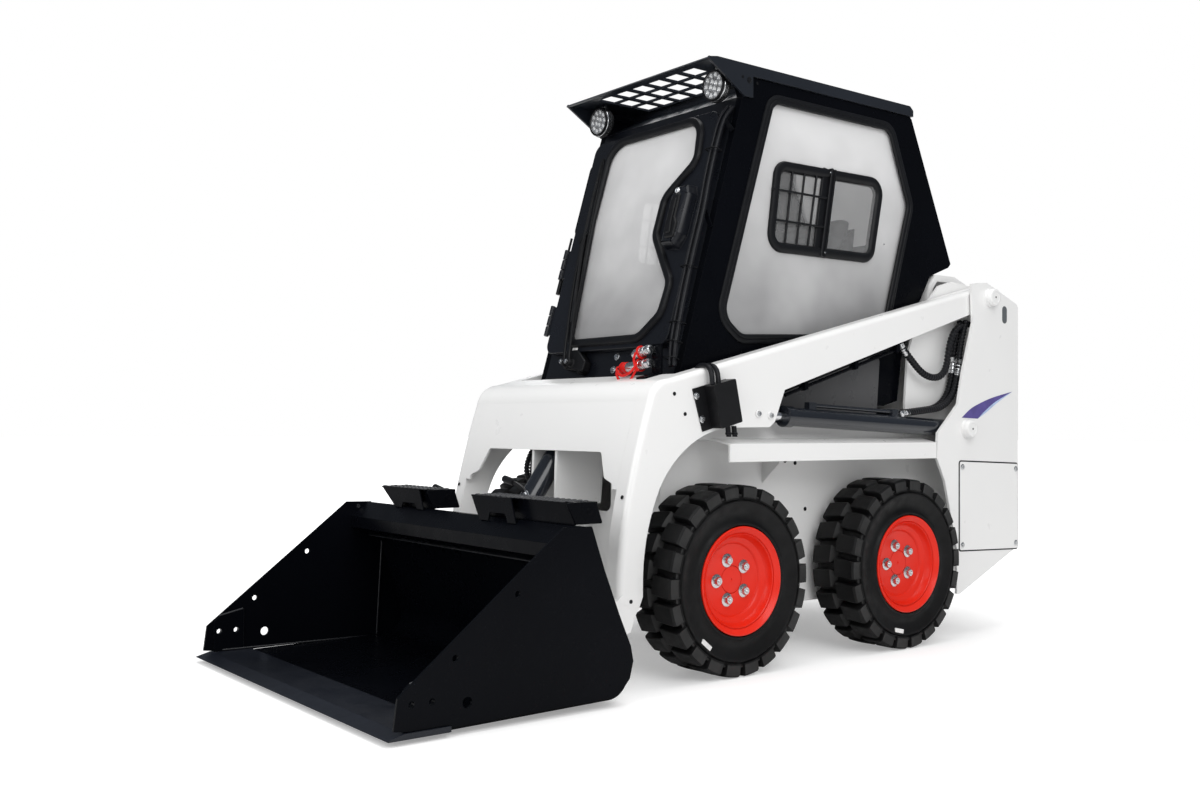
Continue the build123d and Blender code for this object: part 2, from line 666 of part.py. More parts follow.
for side_name, side in SIDES:
    low, thick = slab(side, ARM_IN, ARM_OUT)
    with BuildPart() as arm:
        with BuildSketch(side_plane(low)):
            with BuildLine():
                Line((-562, 262), (-562, 316))
                ThreePointArc((-562, 316), (-549, 445), (-524, 573))
                ThreePointArc((-524, 573), (-489, 709), (-450, 834))
                ThreePointArc((-450, 834), (-420, 884), (-370, arm_top(-370)))
                Line((-370, arm_top(-370)), (1190, arm_top(1190)))
                ThreePointArc((1190, arm_top(1190)), (1251, 1251), (1192, 1208.6))
                Polyline((1192, 1208.6), (117, 879), (72, 776), (49, 759), (-139, 756))
                ThreePointArc((-139, 756), (-300, 697), (-410, 577))
                ThreePointArc((-410, 577), (-458, 441), (-473, 300))
                Polyline((-473, 300), (-473, 262), (-484, 237), (-521.7, 175.4))
                ThreePointArc((-521.7, 175.4), (-600, 172.5), (-592.6, 235.6))
                Line((-592.6, 235.6), (-562, 262))
            make_face()
            with Locations(LIFT_PIVOT):
                Circle(PIN_R + RUN, mode=Mode.SUBTRACT)
            with Locations(BUCKET_PIN):
                Circle(PIN_R, mode=Mode.SUBTRACT)
        extrude(amount=thick)
        low, thick = slab(side, ARM_IN + ARM_WALL, ARM_OUT - ARM_WALL)
        with BuildSketch(side_plane(low)):
            with BuildLine():
                Polyline((-40, 700), (-40, 848), (160, 868), (160, 700), close=True)
            make_face()
        extrude(amount=thick, mode=Mode.SUBTRACT)
        outer = arm.faces().sort_by(Axis.X)[-1 if side > 0 else 0]
        rolled = outer.edges().filter_by(
            lambda e: e.center().Z > 270 and (e.center().Y < -480 or e.center().Z > arm_top(e.center().Y) - 40)
        )
        fillet(rolled, radius=ARM_ROLL)
    arm.part.label = f"lift_arm_{side_name}"
    export_step(arm.part, f"parts/lift_arm_{side_name}.step")

SHEET = 8
SHEET_CUT_Y, SHEET_CUT = -400, 200
with BuildPart() as cross_sheet:
    with BuildSketch(side_plane(-ARM_IN)):
        with BuildLine():
            ThreePointArc((-524, 573), (-489, 709), (-450, 834))
            ThreePointArc((-450, 834), (-420, 884), (-370, arm_top(-370)))
            Line((-370, arm_top(-370)), (-300, arm_top(-300)))
            Line((-300, arm_top(-300)), (-300, arm_top(-300) - SHEET))
            Line((-300, arm_top(-300) - SHEET), (-368, arm_top(-368) - SHEET))
            ThreePointArc((-368, arm_top(-368) - SHEET), (-414, 878), (-442, 832))
            ThreePointArc((-442, 832), (-481, 707), (-516, 571))
            Line((-516, 571), (-524, 573))
        make_face()
    extrude(amount=2 * ARM_IN)
    with BuildSketch(cross_plane(SHEET_CUT_Y)):
        with BuildLine():
            FilletPolyline((-400, 530), (-398, 588), (-352, 604), (-312, 681), (312, 681), (352, 604),
                           (398, 588), (400, 530), radius=14, close=True)
        make_face()
    extrude(amount=SHEET_CUT, mode=Mode.SUBTRACT)
cross_sheet.part.label = "cross_sheet"
export_step(cross_sheet.part, "parts/cross_sheet.step")

EAR_IN, EAR_T = 58, 12
TILT_PIN_R = 15
EAR = [(-304, 911), (-367, 895), (-388, 891), (-406, 882), (-422, 868), (-434, 851), (-441, 832), (-468, 746),
       (-486, 685), (-489, 610), (-490, 530), (-470, 490), (-391, 478), (-357, 506), (-310, 507), (-305, 560),
       (-296, 669), (-289, 841)]
with BuildPart() as tilt_mount:
    for side_name, side in SIDES:
        low, thick = slab(side, EAR_IN, EAR_IN + EAR_T)
        with BuildSketch(side_plane(low)):
            with BuildLine():
                Polyline(*EAR, close=True)
            make_face()
        extrude(amount=thick)
    with BuildSketch(side_plane(-EAR_IN)):
        with Locations(TILT_BASE):
            Circle(TILT_PIN_R)
    extrude(amount=2 * EAR_IN)
tilt_mount.part.label = "tilt_mount"
export_step(tilt_mount.part, "parts/tilt_mount.step")

# ---------------------------------------------------------------- cylinders
# name, base pin, rod eye, X centres, barrel radius, rod radius, barrel length, rod start, eye radius,
# eye half width, pin radius
CYLINDERS = [
    ("lift", LIFT_BASE, LIFT_EYE, [("_left", ARM_MID), ("_right", -ARM_MID)], 31, 15, 905, 90, 30, 19, PIN_R),
    ("tilt", TILT_BASE, TILT_EYE, [("", 0)], 36, 18, 432, 126, 30, 24, TILT_PIN_R),
]
GLAND = 34
PIPE_R = 7
# blocks that hold the steel pipe on a lift barrel: distance from the base pin, and length
PORTS = [(350, 34), (776, 34)]
PORT_SIZE, PORT_SINK = (22, 30), 9
PIPE_GAP = 5
BORE_START = 50
for name, base, eye, places, barrel_r, rod_r, barrel_len, rod_start, eye_r, eye_half, pin_r in CYLINDERS:
    dy, dz = eye[0] - base[0], eye[1] - base[1]
    run = hypot(dy, dz)
    uy, uz = dy / run, dz / run
    for suffix, x in places:
        along = Plane(origin=(x, base[0], base[1]), x_dir=(1, 0, 0), z_dir=(0, uy, uz))
        with BuildPart() as barrel:
            with BuildSketch(along.offset(eye_r * 0.6)):
                Circle(barrel_r)
            extrude(amount=barrel_len)
            with BuildSketch(side_plane(x)):
                with Locations(base):
                    Circle(eye_r)
            extrude(amount=eye_half, both=True)
            with BuildSketch(side_plane(x)):
                with Locations(base):
                    Circle(pin_r + RUN)
            extrude(amount=2 * eye_half, both=True, mode=Mode.SUBTRACT)
            with BuildSketch(along.offset(eye_r * 0.6 + barrel_len - GLAND)):
                Circle(barrel_r + 4)
            extrude(amount=GLAND)
            if name == "lift":
                for start, length in PORTS:
                    with BuildSketch(along.offset(start)):
                        with Locations((0, barrel_r + PORT_SIZE[1] / 2 - PORT_SINK)):
                            Rectangle(*PORT_SIZE)
                    extrude(amount=length)
                with BuildSketch(along.offset(PORTS[0][0])):
                    with Locations((0, barrel_r + PIPE_R + PIPE_GAP)):
                        Circle(PIPE_R)
                extrude(amount=PORTS[1][0] - PORTS[0][0])
            with BuildSketch(along.offset(BORE_START)):
                Circle(rod_r + 0.4)
            extrude(amount=barrel_len, mode=Mode.SUBTRACT)
        barrel.part.label = f"{name}_barrel{suffix}"
        export_step(barrel.part, f"parts/{name}_barrel{suffix}.step")
        with BuildPart() as rod:
            with BuildSketch(along.offset(rod_start)):
                Circle(rod_r)
            extrude(amount=run - rod_start - 0.7 * eye_r)
            with BuildSketch(side_plane(x)):
                with Locations(eye):
                    Circle(eye_r)
            extrude(amount=eye_half, both=True)
            with BuildSketch(side_plane(x)):
                with Locations(eye):
                    Circle(eye_r / 2)
            extrude(amount=2 * eye_half, both=True, mode=Mode.SUBTRACT)
        rod.part.label = f"{name}_rod{suffix}"
        export_step(rod.part, f"parts/{name}_rod{suffix}.step")

# ---------------------------------------------------------------- quick attach and bucket
CHEEK_T, TILT_CHEEK = 14, 28
ATTACH_HALF = ARM_OUT + 20
with BuildPart() as quick_attach:
    for side_name, side in SIDES:
        for inner in (ARM_IN - CHEEK_T - 6, ARM_OUT + 6):
            low, thick = slab(side, inner, inner + CHEEK_T)
            with BuildSketch(side_plane(low)):
                with BuildLine():
                    Polyline((-718, 345), (-700, 356), (-672, 352), (-612, 272), (-534, 236), (-522, 200),
                             (-534, 168), (-562, 158), (-636, 121), close=True)
                make_face()
            extrude(amount=thick)
        low, thick = slab(side, ARM_IN - 20, ATTACH_HALF)
        with BuildSketch(side_plane(low)):
            with Locations(BUCKET_PIN):
                Circle(PIN_R - RUN)
        extrude(amount=thick)
        low, thick = slab(side, TILT_CHEEK, TILT_CHEEK + CHEEK_T)
        with BuildSketch(side_plane(low)):
            with BuildLine():
                Polyline((-720, 345), (-712, 388), (-676, 412), (-638, 412), (-614, 394), (-612, 366),
                         (-634, 348), (-660, 330), (-668, 250), (-682, 250), close=True)
            make_face()
        extrude(amount=thick)
    with BuildSketch(side_plane(-ATTACH_HALF)):
        with BuildLine():
            Polyline((-648, 118), (-684, 229), (-723, 329), (-737, 366), (-725, 370), (-711, 331), (-672, 232),
                     (-636, 121), close=True)
        make_face()
    extrude(amount=2 * ATTACH_HALF)
quick_attach.part.label = "quick_attach"
export_step(quick_attach.part, "parts/quick_attach.step")

SIDE_T = 8
SIDE_PLATE = [(-1365, 35), (-1355, 112), (-871, 494), (-780, 492), (-736, 372), (-684, 247), (-645, 162),
              (-636, 120), (-648, 73), (-675, 44), (-710, 29), (-1211, 24), (-1211, 29), (-1320, 29)]
DOUBLER = [(-1334, 30), (-1334, 126), (-1316, 142), (-1238, 158), (-1238, 30)]
# bolt holes in each side plate: Y, Z and radius
SIDE_HOLES = [(-1318, 93, 8.5), (-1262, 93, 8.5), (-1163, 78, 14), (-1198, 190, 8.5), (-1016, 332, 8.5)]
for side_name, side in SIDES:
    low, thick = slab(side, BUCKET_HALF - SIDE_T, BUCKET_HALF)
    with BuildPart() as bucket_side:
        with BuildSketch(side_plane(low)):
            with BuildLine():
                Polyline(*SIDE_PLATE, close=True)
            make_face()
        extrude(amount=thick)
        low, thick = slab(side, BUCKET_HALF - 2 * SIDE_T, BUCKET_HALF - SIDE_T)
        with BuildSketch(side_plane(low)):
            with BuildLine():
                Polyline(*DOUBLER, close=True)
            make_face()
        extrude(amount=thick)
        low, thick = slab(side, BUCKET_HALF - 2 * SIDE_T, BUCKET_HALF)
        with BuildSketch(side_plane(low)):
            for y, z, radius in SIDE_HOLES:
                with Locations((y, z)):
                    Circle(radius)
        extrude(amount=thick, mode=Mode.SUBTRACT)
    bucket_side.part.label = f"bucket_side_{side_name}"
    export_step(bucket_side.part, f"parts/bucket_side_{side_name}.step")

with BuildPart() as bucket_shell:
    with BuildSketch(side_plane(-(BUCKET_HALF - SIDE_T))):
        with BuildLine():
            Polyline((-1211, 23), (-715, 30))
            ThreePointArc((-715, 30), (-668, 60), (-660, 112))
            Polyline((-660, 112), (-696, 226), (-735, 326), (-757, 384), (-797, 379), (-854, 406), (-855, 444),
                     (-798, 490), (-780, 490), (-760, 440), (-727, 328))
            Line((-727, 328), (-688, 228))
            Line((-688, 228), (-652, 114))
            ThreePointArc((-652, 114), (-660, 50), (-715, 22))
            Line((-715, 22), (-1211, 15))
            Line((-1211, 15), (-1211, 23))
        make_face()
    extrude(amount=2 * (BUCKET_HALF - SIDE_T))
bucket_shell.part.label = "bucket_shell"
export_step(bucket_shell.part, "parts/bucket_shell.step")

EDGE_LOW, EDGE_HIGH, EDGE_BACK = 14, 28.5, -1211.5
with BuildPart() as cutting_edge:
    with BuildSketch(side_plane(-EDGE_HALF)):
        with BuildLine():
            Polyline((TIP_Y, EDGE_LOW + 2), (TIP_Y + 4, EDGE_LOW), (EDGE_BACK, EDGE_LOW),
                     (EDGE_BACK, EDGE_HIGH), (TIP_Y + 46, EDGE_HIGH), close=True)
        make_face()
    extrude(amount=2 * EDGE_HALF)
cutting_edge.part.label = "cutting_edge"
export_step(cutting_edge.part, "parts/cutting_edge.step")

# Steps over the bucket: a tread that narrows, a front flange with two legs, a plate on the beam
# and an end plate. Columns: start, leg 1 from and to, leg 2 from and to, flange end, tread end (X),
# then the flange's Y.
STEP_TOP, STEP_T = 552, 4
STEP_BACK, STEP_MID = -705, -784
BEAM_TOP = 490
BEAM_EDGE = -798
BEAM_SLOPE = 46 / 57
FLANGE_DEEP, LEG_ROOT = 52, 47
STEPS = [
    (86, 136, 181, 285, 327, 300, 566, -815),
    (-505, -411, -366, -262, -220, -250, -190, -806),
]
with BuildPart() as bucket_steps:
    for start, one, two, three, four, bend, end, front in STEPS:
        with BuildSketch(Plane.XY.offset(STEP_TOP - STEP_T)):
            with BuildLine():
                Polyline((start, front), (bend, front), (bend, STEP_MID), (end, STEP_MID), (end, STEP_BACK),
                         (start, STEP_BACK), close=True)
            make_face()
        extrude(amount=STEP_T)
        foot = BEAM_TOP + BEAM_SLOPE * (front + STEP_T - BEAM_EDGE) + 0.3
        with BuildSketch(cross_plane(front)):
            with BuildLine():
                Polyline((start, STEP_TOP), (bend, STEP_TOP), (four, foot), (three, foot),
                         (three - 13, STEP_TOP - LEG_ROOT), (two + 9, STEP_TOP - LEG_ROOT), (two, foot),
                         (one, foot), (one - 16, STEP_TOP - FLANGE_DEEP), close=True)
            make_face()
        extrude(amount=-STEP_T)
        with BuildSketch(cross_plane(STEP_MID)):
            with BuildLine():
                Polyline((start + 20, STEP_TOP), (end, STEP_TOP), (end, BEAM_TOP), (one, BEAM_TOP), close=True)
            make_face()
        extrude(amount=-STEP_T)
        with BuildSketch(side_plane(end - STEP_T)):
            with BuildLine():
                Polyline((STEP_MID, STEP_TOP), (STEP_BACK, STEP_TOP), (STEP_BACK, STEP_TOP - 24),
                         (STEP_MID + STEP_T, BEAM_TOP), (STEP_MID, BEAM_TOP), close=True)
            make_face()
        extrude(amount=STEP_T)
bucket_steps.part.label = "bucket_steps"
export_step(bucket_steps.part, "parts/bucket_steps.step")

# ---------------------------------------------------------------- pipes, couplers and covers on the arms
UNDER_FRONT, UNDER_BACK = (117, 879), (1192, 1208.6)
ARM_SLOPE = (UNDER_BACK[1] - UNDER_FRONT[1]) / (UNDER_BACK[0] - UNDER_FRONT[0])


def under_arm(y, drop):
    """Height a given distance below the arm's lower edge."""
    return UNDER_FRONT[1] + (y - UNDER_FRONT[0]) * ARM_SLOPE - drop


# pipe drops below the arm, and the clips that hold them
PIPE_DROPS = (10, 26)
PIPE_RUN = (150, 745)
CLIPS = (230, 480, 700)
CLIP_HALF, CLIP_LONG, CLIP_DEEP = 14, 16, 34
with BuildPart() as arm_pipes:
    for drop in PIPE_DROPS:
        with BuildLine() as run:
            Line(*[(ARM_MID, y, under_arm(y, drop)) for y in PIPE_RUN])
        with BuildSketch(Plane(origin=run.line @ 0, z_dir=run.line % 0)):
            Circle(PIPE_R - 1)
        sweep()
    for y in CLIPS:
        with BuildSketch(side_plane(ARM_MID - CLIP_HALF)):
            with BuildLine():
                Polyline((y, under_arm(y, 0)), (y + CLIP_LONG, under_arm(y + CLIP_LONG, 0)),
                         (y + CLIP_LONG, under_arm(y + CLIP_LONG, CLIP_DEEP)), (y, under_arm(y, CLIP_DEEP)),
                         close=True)
            make_face()
        extrude(amount=2 * CLIP_HALF)
arm_pipes.part.label = "arm_pipes"
export_step(arm_pipes.part, "parts/arm_pipes.step")

COVER_T, COVER_OUT = 4, 44
COVER = [(-285, 873), (-148, 907), (-118, 775), (-243, 744)]
COVER_BOX = [(-238, 885), (-148, 907), (-118, 775), (-206, 753)]
with BuildPart() as hose_cover:
    with BuildSketch(side_plane(ARM_OUT)):
        with BuildLine():
            Polyline(*COVER, close=True)
        make_face()
    extrude(amount=COVER_T)
    with BuildSketch(side_plane(ARM_OUT + COVER_T)):
        with BuildLine():
            FilletPolyline(*COVER_BOX, radius=5, close=True)
        make_face()
    extrude(amount=COVER_OUT)
hose_cover.part.label = "hose_cover"
export_step(hose_cover.part, "parts/hose_cover.step")

# bracket on the cross sheet and the two couplers it holds: X and Z of each root and of each face
BRACKET_X = (317, 361)
BRACKET_Y = -302
BRACKET_T = 6
BRACKET_FOOT = -366
BRACKET_TOP = 1016
with BuildPart() as coupler_bracket:
    with BuildSketch(side_plane(BRACKET_X[0])):
        with BuildLine():
            Polyline(
                (BRACKET_FOOT, arm_top(BRACKET_FOOT)), (BRACKET_Y + BRACKET_T, arm_top(BRACKET_Y + BRACKET_T)),
                (BRACKET_Y + BRACKET_T, BRACKET_TOP), (BRACKET_Y, BRACKET_TOP),
                (BRACKET_Y, arm_top(BRACKET_Y) + BRACKET_T), (BRACKET_FOOT, arm_top(BRACKET_FOOT) + BRACKET_T),
                close=True,
            )
        make_face()
    extrude(amount=BRACKET_X[1] - BRACKET_X[0])
coupler_bracket.part.label = "coupler_bracket"
export_step(coupler_bracket.part, "parts/coupler_bracket.step")

COUPLERS = [((333, 1000), (249, 984)), ((333, 957), (200, 943))]
COUPLER_DROP = 17
CLAMP = (16, 20)
# coupler section: share of its length, radius
COUPLER = [(0, 0), (0, 10), (0.08, 14), (0.5, 14), (0.5, 16), (0.86, 16), (0.86, 11), (1, 11), (1, 0)]
with BuildPart() as couplers:
    for (root_x, root_z), (tip_x, tip_z) in COUPLERS:
        length = hypot(tip_x - root_x, tip_z - root_z)
        spot = (root_x, BRACKET_Y - COUPLER_DROP, root_z)
        aim = ((tip_x - root_x) / length, 0, (tip_z - root_z) / length)
        with BuildSketch(Plane(origin=spot, x_dir=aim, z_dir=(0, -1, 0))):
            with BuildLine():
                Polyline(*[(share * length, radius) for share, radius in COUPLER], close=True)
            make_face()
        revolve(axis=Axis(spot, aim))
        with BuildSketch(cross_plane(BRACKET_Y)):
            with Locations((root_x - CLAMP[0] / 2 - 1, root_z - 2)):
                Rectangle(*CLAMP)
        extrude(amount=COUPLER_DROP)
couplers.part.label = "couplers"
export_step(couplers.part, "parts/couplers.step")
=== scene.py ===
"""Dresses the skid steer loader: paint, rubber, glass, seals, hoses, lamps, bolts and tyres.

Shapes are worked out in millimetres, in the machine's own frame: +X its left, -Y its front,
+Z up. Every shape is a grid over two parameters, or a profile carried along a path.
"""
import json
import math

import bmesh
import bpy
import numpy as np
from mathutils import Matrix


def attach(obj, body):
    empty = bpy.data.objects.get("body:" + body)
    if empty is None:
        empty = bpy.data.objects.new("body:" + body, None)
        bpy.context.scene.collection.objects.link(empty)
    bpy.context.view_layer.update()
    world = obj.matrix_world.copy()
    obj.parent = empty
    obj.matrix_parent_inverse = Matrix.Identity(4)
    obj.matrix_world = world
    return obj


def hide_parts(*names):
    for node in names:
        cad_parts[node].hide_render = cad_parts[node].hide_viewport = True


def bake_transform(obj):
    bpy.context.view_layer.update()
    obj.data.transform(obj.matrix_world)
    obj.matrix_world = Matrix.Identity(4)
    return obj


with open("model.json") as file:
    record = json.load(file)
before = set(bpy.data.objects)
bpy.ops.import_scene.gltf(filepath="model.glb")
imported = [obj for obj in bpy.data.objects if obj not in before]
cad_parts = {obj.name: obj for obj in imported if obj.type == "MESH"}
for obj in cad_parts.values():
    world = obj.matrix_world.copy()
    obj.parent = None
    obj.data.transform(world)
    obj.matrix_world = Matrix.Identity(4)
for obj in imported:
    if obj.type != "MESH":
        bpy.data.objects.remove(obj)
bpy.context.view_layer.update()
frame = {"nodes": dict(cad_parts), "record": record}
NODES = frame["nodes"]

MM = 0.001
TURN = 2 * math.pi
SIDES = (("left", 1), ("right", -1))

# ---------------------------------------------------------------- driving dimensions, in mm
TYRE_R = 292
TYRE_MID_X = 470
AXLES = (("front", -147), ("rear", 648))
LUGS = 22
LIFT_PIVOT = (1205, 1250)
LIFT_BASE = (1062, 756)
TOWER_OUT = 500
CAB_HALF, ROOF_HALF = 376, 384
FRONT_LEAN = 0.295
FRONT_FOOT = (-200, 1060)
ARM_OUT = 484


# ---------------------------------------------------------------- shapes
def unit(v):
    """A vector scaled to length one."""
    v = np.asarray(v, float)
    return v / np.linalg.norm(v, axis=-1, keepdims=True)


def board(origin, a, b, out):
    """A drawing board: its origin and three edges, the third pointing out of the surface."""
    return np.asarray(origin, float), np.stack([unit(a), unit(b), unit(out)])


def side_board(side, x):
    """Board on a side wall: first axis along the machine, second up, third outboard."""
    return board((side * x, 0, 0), (0, 1, 0), (0, 0, 1), (side, 0, 0))


def front_y(z):
    """Y of the leaning cab front at height z."""
    return FRONT_FOOT[0] + (z - FRONT_FOOT[1]) * FRONT_LEAN


def front_board():
    """Board on the leaning cab front: first axis the machine's X, second up the slope from z = 0."""
    slope = unit((0, FRONT_LEAN, 1))
    out = np.array([0, -slope[2], slope[1]])
    return board((0, front_y(0), 0), (1, 0, 0), slope, out)


def up(z):
    """Distance up the leaning front for a height."""
    return z * math.hypot(1, FRONT_LEAN)


def on(where, points):
    """Points given on a board, set in the machine."""
    origin, axes = where
    return origin + np.asarray(points, float) @ axes


def grid(points, wrap_u=False, wrap_v=False, cap=False):
    """Quads over a grid of points. Either way may close on itself; first and last rows may be capped."""
    points = np.asarray(points, float)
    rows, columns = points.shape[:2]
    index = np.arange(rows * columns).reshape(rows, columns)
    caps = [index[0].tolist(), index[-1][::-1].tolist()] if cap else []
    if wrap_u:
        index = np.vstack([index, index[:1]])
    if wrap_v:
        index = np.hstack([index, index[:, :1]])
    quads = np.stack([index[:-1, :-1], index[1:, :-1], index[1:, 1:], index[:-1, 1:]], axis=-1)
    return points.reshape(-1, 3), quads.reshape(-1, 4), caps


def shell_volume(points, quads, caps):
    """Six times the volume inside a closed shell, negative when its faces point inwards."""
    fans = np.concatenate([quads[:, [0, 1, 2]], quads[:, [0, 2, 3]]])
    for loop in caps:
        loop = np.asarray(loop)
        fan = np.stack([np.full(len(loop) - 2, loop[0]), loop[1:-1], loop[2:]], axis=-1)
        fans = np.concatenate([fans, fan])
    a, b, c = points[fans].transpose(1, 0, 2)
    return float(np.einsum("ij,ij->", a, np.cross(b, c)))


def piece(name, shapes, body, finish, crease=35):
    """Joins closed shells into one mesh, in metres, with its faces outwards, and sets it on a body."""
    vertices, faces, start = [], [], 0
    for points, quads, caps in shapes:
        turned_in = shell_volume(points - points.mean(axis=0), quads, caps) < 0
        step = -1 if turned_in else 1
        faces += (quads[:, ::step] + start).tolist()
        faces += [[start + i for i in loop[::step]] for loop in caps]
        vertices.append(points * MM)
        start += len(points)
    mesh = bpy.data.meshes.new(name)
    mesh.from_pydata(np.concatenate(vertices).tolist(), [], faces)
    weld = bmesh.new()
    weld.from_mesh(mesh)
    bmesh.ops.remove_doubles(weld, verts=weld.verts, dist=1e-6)
    weld.to_mesh(mesh)
    weld.free()
    mesh.shade_smooth()
    mesh.set_sharp_from_angle(angle=math.radians(crease))
    mesh.materials.append(finish)
    thing = bpy.data.objects.new(name, mesh)
    bpy.context.scene.collection.objects.link(thing)
    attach(thing, body)
    return thing


def turned(profile, where, steps=48, radius_at=None):
    """Lathe work: (height, radius) rows turned about the board's third axis.

    radius_at(angle, row radius) may change the radius with the angle, as on a hexagon."""
    profile = np.asarray(profile, float)
    angle = np.linspace(0, TURN, steps, endpoint=False)
    radius = profile[:, 1:] + 0 * angle
    if radius_at is not None:
        radius = radius_at(angle, radius)
    height = profile[:, :1] + 0 * angle
    points = np.stack([radius * np.cos(angle), radius * np.sin(angle), height], axis=-1)
    return grid(on(where, points), wrap_v=True)


def hexagon(size):
    """Radius rule of a hexagon of a given half width across its flats, cut down by the row's own radius."""
    def radius_at(angle, radius):
        flat = size / np.cos((angle + TURN / 12) % (TURN / 6) - TURN / 12)
        return np.minimum(radius, flat)
    return radius_at


def frames_along(path, closed, up_hint):
    """Unit tangent, side and lift vectors along a path; the side stays square to the hint."""
    ahead = np.roll(path, -1, axis=0) - path
    behind = path - np.roll(path, 1, axis=0)
    if not closed:
        ahead[-1] = behind[-1]
        behind[0] = ahead[0]
    tangent = unit(unit(ahead) + unit(behind))
    side = unit(np.cross(tangent, up_hint))
    return tangent, side, np.cross(side, tangent)


def carried(profile, path, closed=False, up_hint=(0, 0, 1)):
    """A closed profile (side, lift) carried along a path of points."""
    path = np.asarray(path, float)
    profile = np.asarray(profile, float)
    _, side, lift = frames_along(path, closed, np.asarray(up_hint, float))
    points = (path[:, None] + profile[None, :, :1] * side[:, None] + profile[None, :, 1:] * lift[:, None])
    return grid(points, wrap_u=closed, wrap_v=True, cap=not closed)


def circle(radius, steps=16):
    """Closed round profile."""
    angle = np.linspace(0, TURN, steps, endpoint=False)
    return np.stack([radius * np.cos(angle), radius * np.sin(angle)], axis=-1)


def rounded(corners, radii, steps=8):
    """Closed outline in two axes whose corners are arcs of the given radii."""
    here = np.asarray(corners, float)
    radii = np.broadcast_to(np.asarray(radii, float), len(here))[:, None]
    to_last = unit(np.roll(here, 1, axis=0) - here)
    to_next = unit(np.roll(here, -1, axis=0) - here)
    half = np.arccos(np.clip((to_last * to_next).sum(axis=1), -1, 1))[:, None] / 2
    middle = here + unit(to_last + to_next) * radii / np.sin(half)
    first = here + to_last * radii / np.tan(half) - middle
    last = here + to_next * radii / np.tan(half) - middle
    sweep = np.pi - 2 * half
    t = np.linspace(0, 1, steps)[None, :, None]
    weight = np.sin(sweep)[:, None]
    arc = (first[:, None] * np.sin((1 - t) * sweep[:, None])
           + last[:, None] * np.sin(t * sweep[:, None])) / weight
    return (middle[:, None] + arc).reshape(-1, 2)


def box_outline(a0, b0, a1, b1, radius, steps):
    """Closed rectangle between two corners, with rounded corners."""
    return rounded(((a0, b0), (a1, b0), (a1, b1), (a0, b1)), radius, steps)


def flat_bar(half, high):
    """Closed rectangular profile, given half its width and half its thickness."""
    return [(half, -high), (half, high), (-half, high), (-half, -high)]


def inset(outline, amount):
    """An outline moved inwards by an amount along its mitred corners."""
    outline = np.asarray(outline, float)
    ahead = unit(np.roll(outline, -1, axis=0) - outline)
    behind = unit(outline - np.roll(outline, 1, axis=0))
    area = np.sum(outline[:, 0] * np.roll(outline[:, 1], -1) - np.roll(outline[:, 0], -1) * outline[:, 1])
    turn = 1 if area > 0 else -1
    normal = turn * np.stack([-ahead[:, 1] - behind[:, 1], ahead[:, 0] + behind[:, 0]], axis=-1) / 2
    return outline + amount * normal / np.maximum((normal ** 2).sum(axis=1, keepdims=True), 0.25)


def raised(outline, rows, where):
    """A solid over a board whose outline is moved inwards by (inset, height) rows, from its foot to its top."""
    points = [np.column_stack([inset(outline, back), np.full(len(outline), height)]) for back, height in rows]
    return grid(on(where, points), wrap_v=True, cap=True)


def plate(outline, low, high, where, bevel=1.0):
    """A flat plate between two heights over a board, its rims eased by a small bevel."""
    return raised(outline, ((bevel, low), (0, low + bevel), (0, high - bevel), (bevel, high)), where)


def hex_bolt(where, size=8, washer=1.9, head=0.62):
    """A hexagon head on a washer: rows from the washer's edge up over the chamfered crown."""
    rim = size * washer / 1.2
    rows = ((0, rim), (size * 0.18, rim), (size * 0.22, rim * 0.96), (size * 0.22, size * 1.3),
            (size * head * 1.1, size * 1.3), (size * head * 1.35, size * 0.95), (size * head * 1.38, 0))
    washer_rows, head_rows = rows[:3] + ((size * 0.22, 0),), rows[3:]
    base = turned(((0, 0),) + washer_rows, where, steps=24)
    crown = turned(((size * 0.2, 0), (size * 0.2, size * 1.3)) + head_rows[1:], where, 36, hexagon(size))
    return [base, crown]


def moved(where, a, b, h=0):
    """The same board with its origin at a place on it."""
    return on(where, (a, b, h)), where[1]


